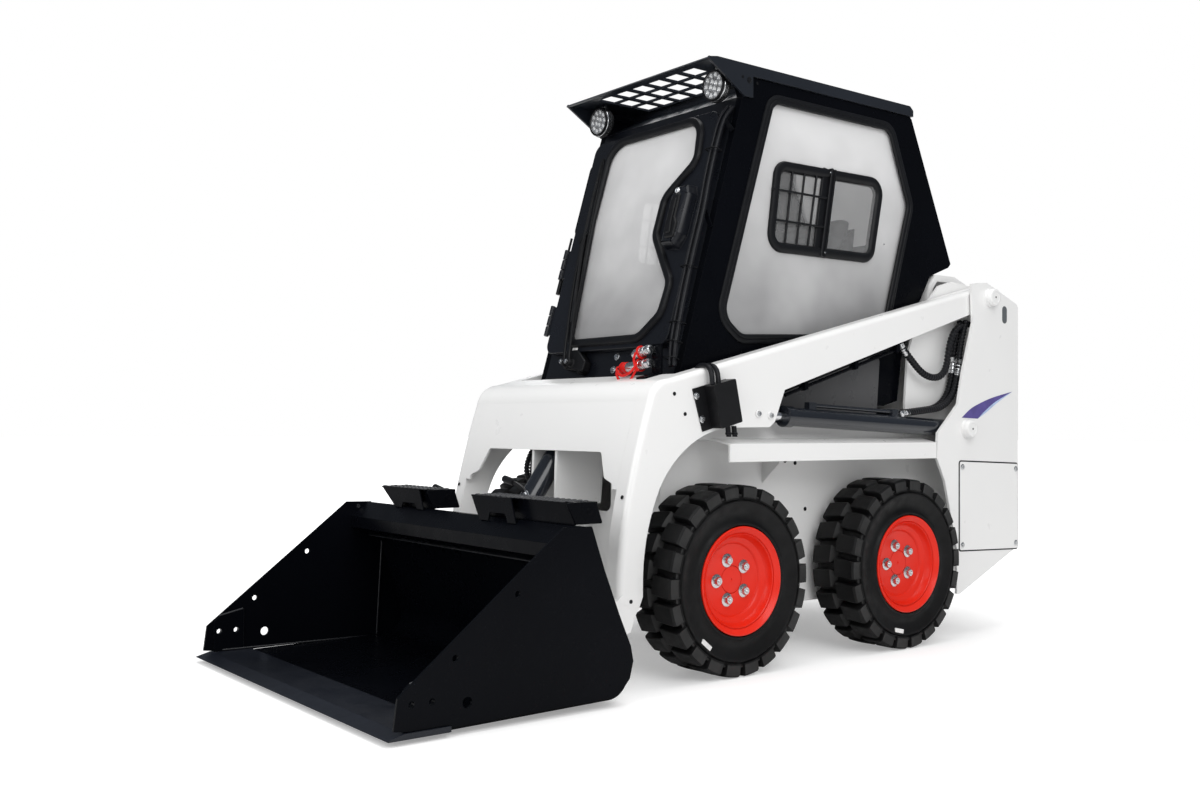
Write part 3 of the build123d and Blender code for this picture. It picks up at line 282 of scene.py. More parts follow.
# ---------------------------------------------------------------- finishes
class Nodes:
    """A material being wired: keeps its tree, its shader and its coordinates at hand."""

    def __init__(self, name, **sockets):
        self.material = bpy.data.materials.new(name)
        self.material.use_nodes = True
        self.tree = self.material.node_tree
        self.shader = self.tree.nodes["Principled BSDF"]
        self.coords = self.tree.nodes.new("ShaderNodeTexCoord").outputs["Object"]
        for socket, value in sockets.items():
            self.shader.inputs[socket.replace("_", " ")].default_value = value

    def add(self, kind, links=None, **values):
        """A node of a kind, with linked and plain inputs."""
        node = self.tree.nodes.new("ShaderNode" + kind)
        for key, value in values.items():
            if hasattr(node, key):
                setattr(node, key, value)
            else:
                node.inputs[key.replace("_", " ")].default_value = value
        for key, source in (links or {}).items():
            self.tree.links.new(source, node.inputs[key])
        return node

    def noise(self, scale, detail):
        """Noise value over the object, in features per metre."""
        node = self.add("TexNoise", {"Vector": self.coords}, Scale=scale, Detail=detail, Roughness=0.55)
        return node.outputs["Fac"]

    def spread(self, source, low, high, start=0.3, stop=0.7):
        """A value mapped from one range to another."""
        node = self.add("MapRange", {"Value": source}, From_Min=start, From_Max=stop, To_Min=low, To_Max=high)
        return node.outputs["Result"]

    def blend(self, factor, first, second):
        """Two colours mixed by a factor."""
        node = self.tree.nodes.new("ShaderNodeMix")
        node.data_type = "RGBA"
        self.tree.links.new(factor, node.inputs["Factor"])
        for name, value in (("A", first), ("B", second)):
            socket = [s for s in node.inputs if s.name == name and s.type == "RGBA"][0]
            if isinstance(value, bpy.types.NodeSocket):
                self.tree.links.new(value, socket)
            else:
                socket.default_value = (*value, 1)
        return [s for s in node.outputs if s.type == "RGBA"][0]

    def relief(self, height, strength, distance):
        """Bump from a height value, added to the relief already there."""
        node = self.add("Bump", {"Height": height}, Strength=strength, Distance=distance)
        old = self.shader.inputs["Normal"]
        if old.is_linked:
            self.tree.links.new(old.links[0].from_socket, node.inputs["Normal"])
        self.tree.links.new(node.outputs["Normal"], old)

    def drive(self, socket, source):
        """Links a source to a socket of the shader."""
        self.tree.links.new(source, self.shader.inputs[socket])


def shade(colour, factor):
    """A colour made lighter or darker."""
    return tuple(min(1.0, c * factor) for c in colour)


def sprayed(name, colour, roughness, coat, drift=0.05, peel=0.25, sheen=0.5):
    """Sprayed enamel: a slow drift of tone, fine orange peel, a clear gloss and softly rounded rims.

    The Bevel node rounds every rim by 2 mm in the shading alone, so folded edges catch the lamps."""
    n = Nodes(name, Coat_Weight=coat, Coat_Roughness=0.15, IOR=1.5, Specular_IOR_Level=sheen)
    slow = n.spread(n.noise(1.7, 2), 0, 1)
    n.drive("Base Color", n.blend(slow, shade(colour, 1 - drift), shade(colour, 1 + drift / 2)))
    n.drive("Roughness", n.spread(n.noise(14, 4), roughness * 0.85, roughness * 1.2))
    soft = n.add("Bevel", samples=4, Radius=0.002)
    n.drive("Normal", soft.outputs["Normal"])
    n.relief(n.noise(260, 2), peel, 0.0004)
    n.relief(n.noise(3.1, 1), 0.2, 0.004)
    return n.material


def tyre_rubber():
    """Moulded rubber: fine pores, a faint dull bloom, and a painted sheen that colours the lugs' side faces
    paler.
    """
    n = Nodes("tyre_rubber", IOR=1.5, Specular_IOR_Level=0.2)
    bloom = n.spread(n.noise(9, 5), 0, 1, 0.35, 0.7)
    skin = n.blend(bloom, (0.0032, 0.0032, 0.0034), (0.0068, 0.0068, 0.0072))
    # The lugs' side faces take a paler rubber colour: painted sheen.
    painted_flank_sheen = n.blend(bloom, (0.020, 0.020, 0.020), (0.034, 0.034, 0.034))
    mark = n.add("Attribute", attribute_name="lug_side_sheen").outputs["Fac"]
    n.drive("Base Color", n.blend(mark, skin, painted_flank_sheen))
    n.drive("Roughness", n.spread(n.noise(30, 4), 0.40, 0.62))
    n.relief(n.noise(420, 4), 0.35, 0.0006)
    n.relief(n.noise(60, 3), 0.2, 0.0012)
    return n.material


def moulded(name, colour, roughness, grain=900, depth=0.3):
    """Moulded plastic or rubber with a fine grain."""
    n = Nodes(name, IOR=1.5, Specular_IOR_Level=0.25)
    n.drive("Base Color", n.blend(n.spread(n.noise(22, 3), 0, 1), shade(colour, 0.85), shade(colour, 1.15)))
    n.drive("Roughness", n.spread(n.noise(45, 3), roughness * 0.85, roughness * 1.15))
    n.relief(n.noise(grain, 2), depth, 0.0003)
    return n.material


def bright_metal(name, colour, roughness, brushed=0.2):
    """Plated or polished steel with faint tool marks."""
    n = Nodes(name, Metallic=1.0)
    n.drive("Base Color", n.blend(n.spread(n.noise(80, 3), 0, 1), shade(colour, 0.9), shade(colour, 1.05)))
    n.drive("Roughness", n.spread(n.noise(140, 3), roughness * 0.7, roughness * 1.3))
    n.relief(n.noise(700, 2), brushed, 0.0002)
    return n.material


def tinted_with_painted_reflection(name, low, high, veil_low, veil_high):
    """Tinted safety glass with a painted reflection: its veil is coloured darker and denser at the foot of the
    cab and paler under its roof.
    """
    n = Nodes(name, Roughness=0.03, IOR=1.45, Specular_IOR_Level=0.35)
    height = n.add("SeparateXYZ", {"Vector": n.coords}).outputs["Z"]
    # Painted reflection: colour and veil follow the height, with a little noise.
    reflection_height = n.add("Math", {0: height, 1: n.spread(n.noise(2.6, 3), -0.16, 0.16)}, operation="ADD").outputs[0]
    n.drive("Base Color", n.blend(n.spread(reflection_height, 0, 1, 1.02, 1.85), low, high))
    n.drive("Alpha", n.spread(reflection_height, veil_low, veil_high, 1.02, 1.85))
    n.relief(n.noise(3.0, 1), 0.08, 0.002)
    return n.material


WHITE = sprayed("white_enamel", (0.84, 0.84, 0.835), 0.32, 0.35, drift=0.02, peel=0.12)
BLACK = sprayed("black_enamel", (0.0020, 0.0024, 0.0038), 0.28, 0.0, drift=0.25, peel=0.18, sheen=0.06)
# Lighter, bluer copies of the black enamel for the roof, the cab front and door, and the cylinder barrels:
# painted highlight.
LIT_ROOF = sprayed("roof_lit_enamel", (0.011, 0.0135, 0.019), 0.32, 0.15, drift=0.25, peel=0.25, sheen=0.4)
LIT_FRONT = sprayed("front_lit_enamel", (0.0052, 0.0062, 0.0095), 0.30, 0.1, drift=0.3, peel=0.25, sheen=0.3)
LIT_BARREL = sprayed("barrel_lit_enamel", (0.010, 0.0125, 0.018), 0.20, 0.5, drift=0.2, peel=0.1, sheen=0.5)
SMOKED = sprayed("smoked_panel", (0.075, 0.075, 0.077), 0.30, 0.2, drift=0.3, peel=0.1)
VINYL = moulded("seat_vinyl", (0.020, 0.020, 0.022), 0.48, grain=620, depth=0.5)
# A lighter, bluer copy of the black enamel for the cutting edge: painted highlight where its bevel catches the
# light.
LIT_EDGE = sprayed("cutting_edge_lit_enamel", (0.010, 0.012, 0.018), 0.34, 0.0, drift=0.3, peel=0.3, sheen=0.35)
WELD = sprayed("weld_enamel", (0.016, 0.017, 0.020), 0.38, 0.2, drift=0.4, peel=0.5)
RED = sprayed("rim_enamel", (0.76, 0.018, 0.004), 0.36, 0.12, drift=0.10, peel=0.2, sheen=0.3)
RUBBER = tyre_rubber()
SEAL = moulded("seal_rubber", (0.005, 0.0054, 0.0068), 0.42)
PLASTIC = moulded("black_plastic", (0.006, 0.0062, 0.0072), 0.42)
HOSE = moulded("hose_rubber", (0.006, 0.0064, 0.0085), 0.36, grain=1400)
RED_PLASTIC = moulded("red_caps", (0.62, 0.015, 0.012), 0.35)
ZINC = bright_metal("bright_zinc", (0.70, 0.71, 0.72), 0.26)
CHROME = bright_metal("hard_chrome", (0.80, 0.81, 0.83), 0.08, brushed=0.05)
GREY_IRON = sprayed("engine_enamel", (0.10, 0.11, 0.12), 0.5, 0.1)
# The glass, the sliding panes and the lamp lens are coloured paler towards the top: painted reflection.
GLASS = tinted_with_painted_reflection("tinted_glass", (0.34, 0.34, 0.345), (0.95, 0.95, 0.955), 0.74, 0.62)
CLEAR = tinted_with_painted_reflection("clear_pane", (0.55, 0.56, 0.57), (0.85, 0.85, 0.86), 0.16, 0.08)
LENS = tinted_with_painted_reflection("lamp_lens", (0.85, 0.86, 0.88), (0.90, 0.91, 0.93), 0.10, 0.10)
SILVER = bright_metal("reflector", (0.88, 0.89, 0.90), 0.12, brushed=0.02)
VIOLET = moulded("violet_film", (0.095, 0.075, 0.26), 0.4, depth=0.05)
PALE_BLUE = moulded("pale_blue_film", (0.42, 0.52, 0.74), 0.3, depth=0.05)
LABEL = moulded("label_film", (0.80, 0.80, 0.79), 0.35, depth=0.05)

FINISHES = {
    "white_paint": WHITE, "black_paint": BLACK, "rim_paint": RED, "tyre": RUBBER, "tinted_glass": GLASS,
    "black_plastic": PLASTIC, "vinyl": PLASTIC, "chrome": CHROME, "zinc": ZINC, "engine_grey": GREY_IRON,
    "hose_rubber": HOSE, "red_plastic": RED_PLASTIC, "lamp": ZINC,
}


def finish_nodes():
    """Gives every carried-over solid the finish of its record slot."""
    for row in frame["record"]["subparts"]:
        for place in NODES[row["node"]].material_slots:
            place.material = FINISHES[row["material_slot"]]
    # The roof, cab front, cutting edge and cylinder barrels take lighter copies of the black enamel: painted
    # highlight.
    for name, finish in (("cab_roof", LIT_ROOF), ("cab_front", LIT_FRONT), ("cutting_edge", LIT_EDGE),
                         ("lift_barrel_left", LIT_BARREL), ("lift_barrel_right", LIT_BARREL), ("tilt_barrel", LIT_BARREL)):
        NODES[name].material_slots[0].material = finish


# ---------------------------------------------------------------- wheels
TYRE_STEPS, RIM_STEPS = 132, 96
NUTS, NUT_CIRCLE = 5, 63


def tread_rows():
    """Cross section of the carcass in (outboard, radius) rows, from the inner bead over the tread."""
    wall = [(70, 163), (86, 166), (91, 170), (91, 176), (84, 182), (80, 192), (82, 208), (87, 224), (90, 234),
            (91.5, 238), (91.5, 242), (88, 245), (83, 247), (83, 250), (86, 253), (86, 257)]
    crown = [(84, 262), (60, 265), (30, 266), (0, 266.5)]
    half = np.array(wall + crown, float)
    inner = half[:-1].copy()
    inner[:, 0] *= -1
    return np.concatenate([inner, half[::-1]])


def round_axle(across, radius, turn):
    """Points across the tyre, at a radius and a turn about the axle."""
    return np.stack([across + 0 * turn, radius * np.cos(turn), radius * np.sin(turn)], axis=-1)


def lug_block(side, angle, hub):
    """One shoulder block: a six-sided loft from its foot in the carcass to its worn-free crown.

    Across the tread it runs from the middle out over the shoulder; its flanks lean as a moulded
    lug's do, its crown follows the tyre's round, and its inner end is cut on a slant."""
    half_foot, half_top = 33.5, 30.0
    reach = np.array([[-6, 0.55], [10, 1.0], [60, 1.0], [86, 1.0], [91, 0.98], [91.5, 0.97]])
    radius_top = np.array([266, 290.5, 291.3, 290, 284, 254])
    radius_foot = np.array([262, 262, 262, 258, 252, 250])
    across = np.linspace(-1, 1, 5)
    rows = []
    for level in (0.0, 0.72, 0.94, 1.0):
        radius = radius_foot + (radius_top - radius_foot) * level
        half = (half_foot + (half_top - half_foot) * level - (3.0 if level == 1.0 else 0)) * reach[:, 1]
        chord = across[None, :] * half[:, None] + (reach[:, 0] - 40)[:, None] * 0.10
        turn = angle + chord / TYRE_R
        u = side * (reach[:, 0] - (1.5 if level == 1.0 else 0) * (reach[:, 0] > 80))
        rows.append(round_axle(u[:, None], radius[:, None], turn))
    rows = np.array(rows)
    edge = np.concatenate([rows[:, 0, :], rows[:, 1:, -1], rows[:, -1, -2::-1], rows[:, -2:0:-1, 0]], axis=1)
    skirt = grid(edge + hub, wrap_v=True)
    crown = grid(rows[-1] + hub)
    return skirt, crown


def tyre(name, side, hub):
    """A solid tyre: the carcass turned about the axle, with two staggered rows of shoulder blocks."""
    rows = tread_rows()
    angle = np.linspace(0, TURN, TYRE_STEPS, endpoint=False)
    bore = [(70, 160), (-70, 160)]
    section = np.concatenate([rows, np.array(bore, float)])
    shapes = [grid(round_axle(side * section[:, :1], section[:, 1:], angle) + hub, wrap_u=True, wrap_v=True)]
    for half, phase in ((1, 0.0), (-1, 0.5)):
        for k in range(LUGS):
            skirt, crown = lug_block(side * half, (k + phase) * TURN / LUGS, hub)
            points = np.concatenate([skirt[0], crown[0]])
            quads = np.concatenate([skirt[1], crown[1] + len(skirt[0])])
            shapes.append((points, quads, []))
    thing = piece(f"rubber_{name}", shapes, f"wheel_{name}", RUBBER, crease=30)
    mesh = thing.data
    # Faces on the lugs' sides, picked by their facing and radius, are marked for the rubber's painted sheen.
    normal, centre = np.empty(len(mesh.polygons) * 3), np.empty(len(mesh.polygons) * 3)
    mesh.polygons.foreach_get("normal", normal)
    mesh.polygons.foreach_get("center", centre)
    radius = np.hypot(*(centre.reshape(-1, 3) - hub * MM)[:, 1:].T) / MM
    painted_flank_sheen = (np.abs(normal[::3]) > 0.8) & (radius > 258)
    mesh.attributes.new("lug_side_sheen", "FLOAT", "FACE").data.foreach_set("value", painted_flank_sheen.astype(np.float32))
    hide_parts(f"tyre_{name}")


def wheel_rim(name, side, hub):
    """A pressed rim: lock ring, groove, coned well and flat disc, turned about the axle."""
    rows = np.array([
        (-80, 148), (-80, 163), (-74, 165), (-70, 160), (70, 160), (78, 163), (90, 166), (93, 165), (94, 162),
        (92, 160), (84, 150), (82, 147), (79, 146.5), (78, 145), (80, 143.5), (82, 142), (80, 140), (66, 136),
        (58, 130), (53, 116), (50, 112), (46, 110), (44, 106), (44, 46), (44, 43), (40, 42.5), (40, 41.5),
        (44, 41), (44, 4), (41, 2.5), (41, 0), (20, 0), (20, 60), (30, 110), (40, 150),
    ], float)
    where = board(hub, (0, 1, 0), (0, 0, 1), (side, 0, 0))
    skin = turned(rows, where, RIM_STEPS)[0].reshape(len(rows), RIM_STEPS, 3)
    thing = piece(f"wheel_rim_{name}", [grid(skin, wrap_u=True, wrap_v=True)], f"wheel_{name}", RED,
                  crease=28)
    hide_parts(f"rim_{name}")
    nuts = []
    for k in range(NUTS):
        turn = math.pi + k * TURN / NUTS
        spot = moved(where, NUT_CIRCLE * math.cos(turn), NUT_CIRCLE * math.sin(turn), 44)
        nuts += hex_bolt(spot, size=11.5, washer=2.2, head=1.0)
        nuts.append(turned(((8, 0), (8, 5.5), (19, 5.5), (20, 4.5), (20, 0)), spot, steps=16))
    piece(f"wheel_nuts_{name}", nuts, f"wheel_{name}", ZINC)
    plate_turn = 0.89 if "front" in name else 1.35
    flat = board(hub + (side * 86, 0, 0), (0, math.sin(plate_turn), -math.cos(plate_turn)),
                 (0, -math.cos(plate_turn), -math.sin(plate_turn)), (side, 0, 0.02))
    tag = box_outline(-22, 222, 22, 236, 1.5, 4)
    piece(f"tyre_plate_{name}", [plate(tag, 1, 6, flat, 0.3)], f"wheel_{name}", LABEL)


def wheels():
    """Four tyres on their rims."""
    for end, y in AXLES:
        for side_name, side in SIDES:
            hub = np.array([side * TYRE_MID_X, y, TYRE_R], float)
            tyre(f"{end}_{side_name}", side, hub)
            wheel_rim(f"{end}_{side_name}", side, hub)


# ---------------------------------------------------------------- shapes on boards
def rib(half, high, steps=7, low=-2.0):
    """Closed profile of a soft bead: a flat foot under an elliptic crown, half wide and high tall."""
    turn = np.linspace(0, math.pi, steps)
    crown = np.stack([half * np.cos(turn), high * np.sin(turn)], axis=-1)
    return np.concatenate([[(half, low)], crown, [(-half, low)]])


def bead(outline, where, profile, proud=0):
    """A profile carried round a closed outline on a board, its lift pointing out of the board."""
    outline = np.asarray(outline, float)
    path = on(where, np.column_stack([outline, np.full(len(outline), proud)]))
    return carried(profile, path, closed=True, up_hint=where[1][2])


def strip(points, where, profile):
    """A profile carried along an open line of (a, b, height) rows on a board."""
    return carried(profile, on(where, points), up_hint=where[1][2])


def drawn(points, steps=12):
    """A smooth open line through given points: Catmull-Rom cubics, each a blend of four neighbours."""
    knots = np.asarray(points, float)
    knots = np.vstack([2 * knots[0] - knots[1], knots, 2 * knots[-1] - knots[-2]])
    t = np.linspace(0, 1, steps, endpoint=False)[:, None]
    weights = np.stack([-t ** 3 + 2 * t ** 2 - t, 3 * t ** 3 - 5 * t ** 2 + 2, -3 * t ** 3 + 4 * t ** 2 + t,
                        t ** 3 - t ** 2]) / 2
    near = np.stack([knots[:-3], knots[1:-2], knots[2:-1], knots[3:]])
    line = np.einsum("kto,kpc->ptc", weights, near).reshape(-1, knots.shape[1])
    return np.vstack([line, knots[-2]])


def seen_from(outline, centre, turns):
    """An outline resampled where rays from a centre inside it cross it, one for each turn."""
    outline = np.asarray(outline, float)
    t = np.linspace(0, 1, 60, endpoint=False)[None, :, None]
    dense = (outline[:, None] * (1 - t) + np.roll(outline, -1, axis=0)[:, None] * t).reshape(-1, 2) - centre
    radius = np.interp(turns, np.arctan2(dense[:, 1], dense[:, 0]), np.hypot(*dense.T), period=TURN)
    return centre + radius[:, None] * np.stack([np.cos(turns), np.sin(turns)], axis=-1)


RAYS = 480


def pierced(outer, inner, low, high, where, centre, bevel=0.0):
    """A plate between an outer and an inner outline, both seen along rays from a centre inside them."""
    turns = np.linspace(-math.pi, math.pi, RAYS, endpoint=False)
    rings = [seen_from(outline, np.asarray(centre, float), turns) for outline in (outer, inner)]
    rows = ((0, 0, low), (0, 0, high - bevel), (0, bevel, high), (1, 0, high), (1, 0, low))
    points = [np.column_stack([inset(rings[i], back), np.full(RAYS, height)]) for i, back, height in rows]
    return grid(on(where, points), wrap_u=True, wrap_v=True)


# ---------------------------------------------------------------- cab glazing
WINDOW = ((-75, 1110), (158, 1857), (780, 1857), (893, 1578), (740, 1075), (20, 1040))
WINDOW_R = (80, 60, 60, 70, 60, 75)
SLIDER = ((149, 1345), (687, 1349), (753, 1660), (190, 1654))
SLIDER_R, SLIDER_RIM = 60, 36
GLASS_IN, GLASS_T = 358, 6
POST = ((416, 1348), (472, 1657))


def side_windows():
    """Side panes, their rubber sections, the sliding window's rounded frame, panes, post and guard bars."""
    window = rounded(WINDOW, WINDOW_R, 12)
    slider = rounded(SLIDER, SLIDER_R, 12)
    opening = inset(slider, SLIDER_RIM - 2)
    seal = [(18, -3), (18, 3), (15, 7), (8, 8.5), (3, 7.5), (1.5, 5.5), (0, 7), (-6, 7.5), (-13, 5), (-15, 1),
            (-15, -3)]
    frame_section = [(19, -3), (19, 9), (16, 15), (10, 18), (0, 19), (-8, 17), (-14, 11), (-17, 4), (-17, -3)]
    for name, side in SIDES:
        glass = side_board(side, GLASS_IN)
        sheet = pierced(inset(window, -6), inset(slider, 6), 0, GLASS_T, glass, (430, 1500))
        pane = piece(f"side_pane_{name}", [sheet], "chassis", GLASS)
        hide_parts(f"side_glass_{name}")
        halves = []
        for low, high, depth in ((130, 450, 1), (430, 770, 6)):
            half = np.clip(opening, (low, 0), (high, 2000))
            halves.append(plate(half, depth, depth + 4, glass, bevel=0.2))
        piece(f"sliding_panes_{name}", halves, "chassis", CLEAR)
        piece(f"side_seal_{name}", [bead(inset(window, 2), side_board(side, CAB_HALF), seal)], "chassis", SEAL)
        middle = inset(slider, SLIDER_RIM / 2)
        shapes = [bead(middle, glass, frame_section)]
        rail = [(13, -4), (13, 14), (11, 16), (5, 16), (3.5, 12), (-3.5, 12), (-5, 16), (-11, 16), (-13, 14),
                (-13, -4)]
        foot, head = POST
        shapes.append(strip([(*foot, 6), (*head, 6)], glass, rail))
        edge = [(15, -3), (15, 6), (13, 8), (-13, 8), (-15, 6), (-15, -3)]
        shapes.append(strip([(foot[0] - 27, foot[1], 4), (head[0] - 27, head[1], 4)], glass, edge))
        for k in range(3):
            bar = [(233 + 56 * k, 1350, 9), (278 + 60 * k, 1652, 9)]
            shapes.append(strip(bar, glass, circle(4, 10)))
        for height in (1451, 1553):
            bar = [(170, height, 15), (440, height, 15)]
            shapes.append(strip(bar, glass, circle(4, 10)))
        window_frame = piece(f"sliding_frame_{name}", shapes, "chassis", SEAL)
        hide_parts(f"slider_frame_{name}")
        screws = [turned(((0, 0), (0, 3.5), (1.6, 2.8), (2.2, 0)), moved(glass, *spot, 22), 16)
                  for spot in ((452, 1643), (424, 1362), (735, 1420))]
        piece(f"slider_screws_{name}", screws, "chassis", ZINC)


# ---------------------------------------------------------------- cab door
DOOR_GLASS = ((-215, 1034), (-258, 1480), (-254, 1779), (236, 1779), (262, 1625), (138, 1515), (136, 1385),
              (268, 1215), (258, 1110), (170, 1034))
DOOR_GLASS_R = (45, 40, 90, 80, 60, 60, 60, 70, 60, 70)
DOOR_EDGE = ((-352, 1008), (312, 1008), (312, 1795), (-352, 1795))
LATCH = ((272, 1324), (294, 1364), (300, 1500), (284, 1535), (230, 1535), (202, 1505), (202, 1330))
DOOR_FACE = 28
LATCH_FACE = 66


def on_front(points):
    """(x, z, proud) points of the machine as rows on the leaning front."""
    return np.array([(x, up(z), proud) for x, z, proud in points], float)


def front_outline(corners, radii, steps):
    """Closed outline on the leaning front, from (x, z) corners of the machine."""
    return rounded([(x, up(z)) for x, z in corners], radii, steps)


def cab_door_panel():
    """The pressed door: a plate pierced by the curved opening, with its pane, latch box, hinges and seal."""
    front = front_board()
    edge = front_outline(DOOR_EDGE, 40, 10)
    glass_edge = front_outline(DOOR_GLASS, DOOR_GLASS_R, 12)
    middle = (0, up(1470))
    shapes = [pierced(edge, glass_edge, 2, DOOR_FACE, front, middle, bevel=2)]
    rows = ((0, DOOR_FACE - 2), (1, DOOR_FACE + 6), (7, LATCH_FACE - 8), (11, LATCH_FACE - 2), (16, LATCH_FACE))
    shapes.append(raised(front_outline(LATCH, 9, 5), rows, front))
    for z in (1135, 1345):
        leaf = box_outline(-392, up(z - 52), -330, up(z + 52), 4, 4)
        shapes.append(plate(leaf, 7, 15, front, 1.5))
        for part in (-38, 0, 38):
            foot, axes = moved(front, -392, up(z + part), 15)
            barrel = ((-18, 0), (-18, 8), (-16.6, 9), (16.6, 9), (18, 8), (18, 0))
            shapes.append(turned(barrel, (foot, axes[[2, 0, 1]]), 24))
    # The door takes the cab front's lighter copy of the black enamel: painted highlight.
    door = piece("door_panel", shapes, "cab_door", LIT_FRONT)
    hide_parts("cab_door")
    pane = piece("door_pane", [plate(inset(glass_edge, -4), 15, 21, front, 0.4)], "cab_door", GLASS)
    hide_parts("door_glass")

    tube = [(17, -3), (17.5, 4), (15, 10), (9, 14), (1, 15), (-7, 12.5), (-12, 6), (-13.5, -2), (-13.5, -13)]
    piece("door_seal", [bead(glass_edge, front, tube, DOOR_FACE)], "cab_door", SEAL)

    lobe = front_outline(((232, 1350), (274, 1350), (276, 1398), (262, 1420), (262, 1498), (232, 1498),
                          (222, 1478), (222, 1370)), 6, 5)
    rest = front_outline(((238, 1364), (260, 1364), (254, 1404), (254, 1482), (238, 1482)), 4, 5)
    grip = [plate(lobe, LATCH_FACE - 10, LATCH_FACE + 7, front, 4),
            plate(rest, LATCH_FACE + 5, LATCH_FACE + 12, front, 3)]
    piece("latch_paddle", grip, "cab_door", PLASTIC)
    seat = moved(front, 238, up(1512), LATCH_FACE - 14)
    button = ((0, 0), (0, 11), (14, 11), (17, 9.5), (18, 8.5), (18, 6.5), (16.5, 6.2), (16.5, 0))
    keyway = plate(box_outline(-1.4, -4.4, 1.4, 4.4, 1.2, 4), 16.2, 17.6, seat, 0.2)
    lock = [turned(button, seat, 32), keyway]
    piece("latch_button", lock, "cab_door", SILVER)
    screws = []
    for z in (1100, 1170, 1310, 1380):
        screws += hex_bolt(moved(front, -340, up(z), 15), 5, 1.8)
    piece("hinge_screws", screws, "cab_door", PLASTIC)


def front_dressing():
    """Label, sill bolts, pipes up the left pillar with their ties, the door's strut and the handle's feet."""
    front = front_board()
    tag = box_outline(-186, up(1010), -156, up(1048), 2, 4)
    piece("door_label", [plate(tag, DOOR_FACE, DOOR_FACE + 0.8, front, 0.2)], "cab_door", LABEL)
    bolts = []
    for x, z in ((39, 991), (35, 947)):
        bolts += hex_bolt(moved(front, x, up(z)), 8, 1.9)
    piece("sill_bolts", bolts, "chassis", ZINC)

    pipes = []
    for x, proud, r in ((344, 40, 8.5), (363, 44, 8.5), (354, 56, 5)):
        route = on_front(((x + 18, 938, proud - 12), (x + 14, 1016, proud), (x + 4, 1141, proud),
                          (x, 1290, proud), (x + 1, 1433, proud), (x - 7, 1560, proud),
                          (x - 12, 1680, proud - 4), (x - 16, 1752, proud - 14), (x - 14, 1800, proud - 34)))
        pipes.append(strip(drawn(route, 10), front, circle(r, 14)))
    piece("pillar_pipes", pipes, "chassis", HOSE, crease=60)
    ties = []
    for z, lean in ((958, 14), (1010, 12), (1070, 9), (1250, 1), (1640, -11)):
        band = box_outline(332 + lean, 26, 381 + lean, 62, 10, 6)
        loop = np.column_stack([band[:, 0], np.full(len(band), up(z)), band[:, 1]])
        ties.append(carried(flat_bar(2.5, 1), on(front, loop), closed=True, up_hint=front[1][1]))
    piece("pipe_ties", ties, "chassis", PLASTIC)
    arms = []
    for z, low in ((1436, 40), (1738, 20)):
        arm = on_front(((338, z + 6, 34), (356, z + 4, 30), (366, z - low * 0.4, 22), (372, z - low, 6)))
        arms.append(strip(drawn(arm, 6), front, flat_bar(8, 2)))
    piece("pipe_brackets", arms, "chassis", BLACK)

    strut = []
    for low, high, r in ((1238, 1330, 8), (1326, 1450, 4.5)):
        line = on_front(((-398, low, 6), (-398, high, 6)))
        strut.append(strip(line, front, circle(r, 16)))
    piece("door_strut", strut, "cab_door", PLASTIC)
    handle_feet = []
    for z in (1470, 1730):
        wall = (np.array([-CAB_HALF, front_y(z) + 22, z], float), side_board(-1, CAB_HALF)[1])
        handle_feet.append(plate(box_outline(-14, -22, 14, 22, 6, 5), 0, 4, wall, 1))
    piece("handle_feet", handle_feet, "chassis", BLACK)


def wiper():
    """Twin wiper arms on a motor at the door's foot, with the blade parked along the glass's right edge."""
    front = front_board()
    arms = []
    for foot_x, head_x in ((-196, -262), (-168, -250)):
        route = on_front(((foot_x, 966, 44), (foot_x - 8, 1040, 52), ((foot_x + head_x) / 2 - 8, 1230, 54),
                          (head_x, 1420, 52)))
        arms.append(strip(drawn(route, 8), front, [(6, -2), (6, 2), (3, 4), (-3, 4), (-6, 2), (-6, -2)]))
    bracket = on_front(((-270, 1400, 52), (-244, 1440, 52)))
    arms.append(strip(bracket, front, [(9, -4), (9, 6), (-9, 6), (-9, -4)]))
    spine = on_front(((-206, 1108, 48), (-216, 1230, 56), (-238, 1400, 60), (-252, 1560, 56), (-262, 1704, 48)))
    arms.append(strip(drawn(spine, 10), front, [(4, -3), (4, 3), (1.5, 5), (-1.5, 5), (-4, 3), (-4, -3)]))
    blade = on_front(((-204, 1096, 43), (-216, 1230, 43), (-238, 1400, 43), (-252, 1560, 43), (-264, 1718, 43)))
    rubber = [(6, 0), (5, 4), (-5, 4), (-6, 0), (-1.2, -2), (-0.6, -8), (0.6, -8), (1.2, -2)]
    arms.append(strip(drawn(blade, 10), front, rubber))
    piece("wiper_arms", arms, "cab_door", PLASTIC, crease=25)
    spindle = ((0, 0), (0, 16), (9, 16), (12, 13), (26, 12), (29, 10), (30, 7), (36, 7), (38, 5), (38, 0))
    knobs = [turned(spindle, moved(front, x, up(966), DOOR_FACE - 4), 28) for x in (-196, -166)]
    knobs.append(turned(((0, 0), (0, 20), (20, 20), (26, 16), (26, 0)), moved(front, -120, up(950), 2), 28))
    case = front_outline(((-214, 950), (-96, 936), (-92, 972), (-150, 1014), (-214, 1014)), 8, 5)
    knobs.append(plate(case, 2, DOOR_FACE + 4, front, 3))
    piece("wiper_motor", knobs, "cab_door", PLASTIC)
    bright = []
    for x, proud in ((-166, 58), (-196, 58), (-120, 26)):
        bright += hex_bolt(moved(front, x, up(966 if x < -130 else 950), proud), 5.5, 1.9)
    piece("wiper_nuts", bright, "cab_door", ZINC)


# ---------------------------------------------------------------- work lamps
LAMP_AT = (308, -34, 1876)
LAMP_R = 45


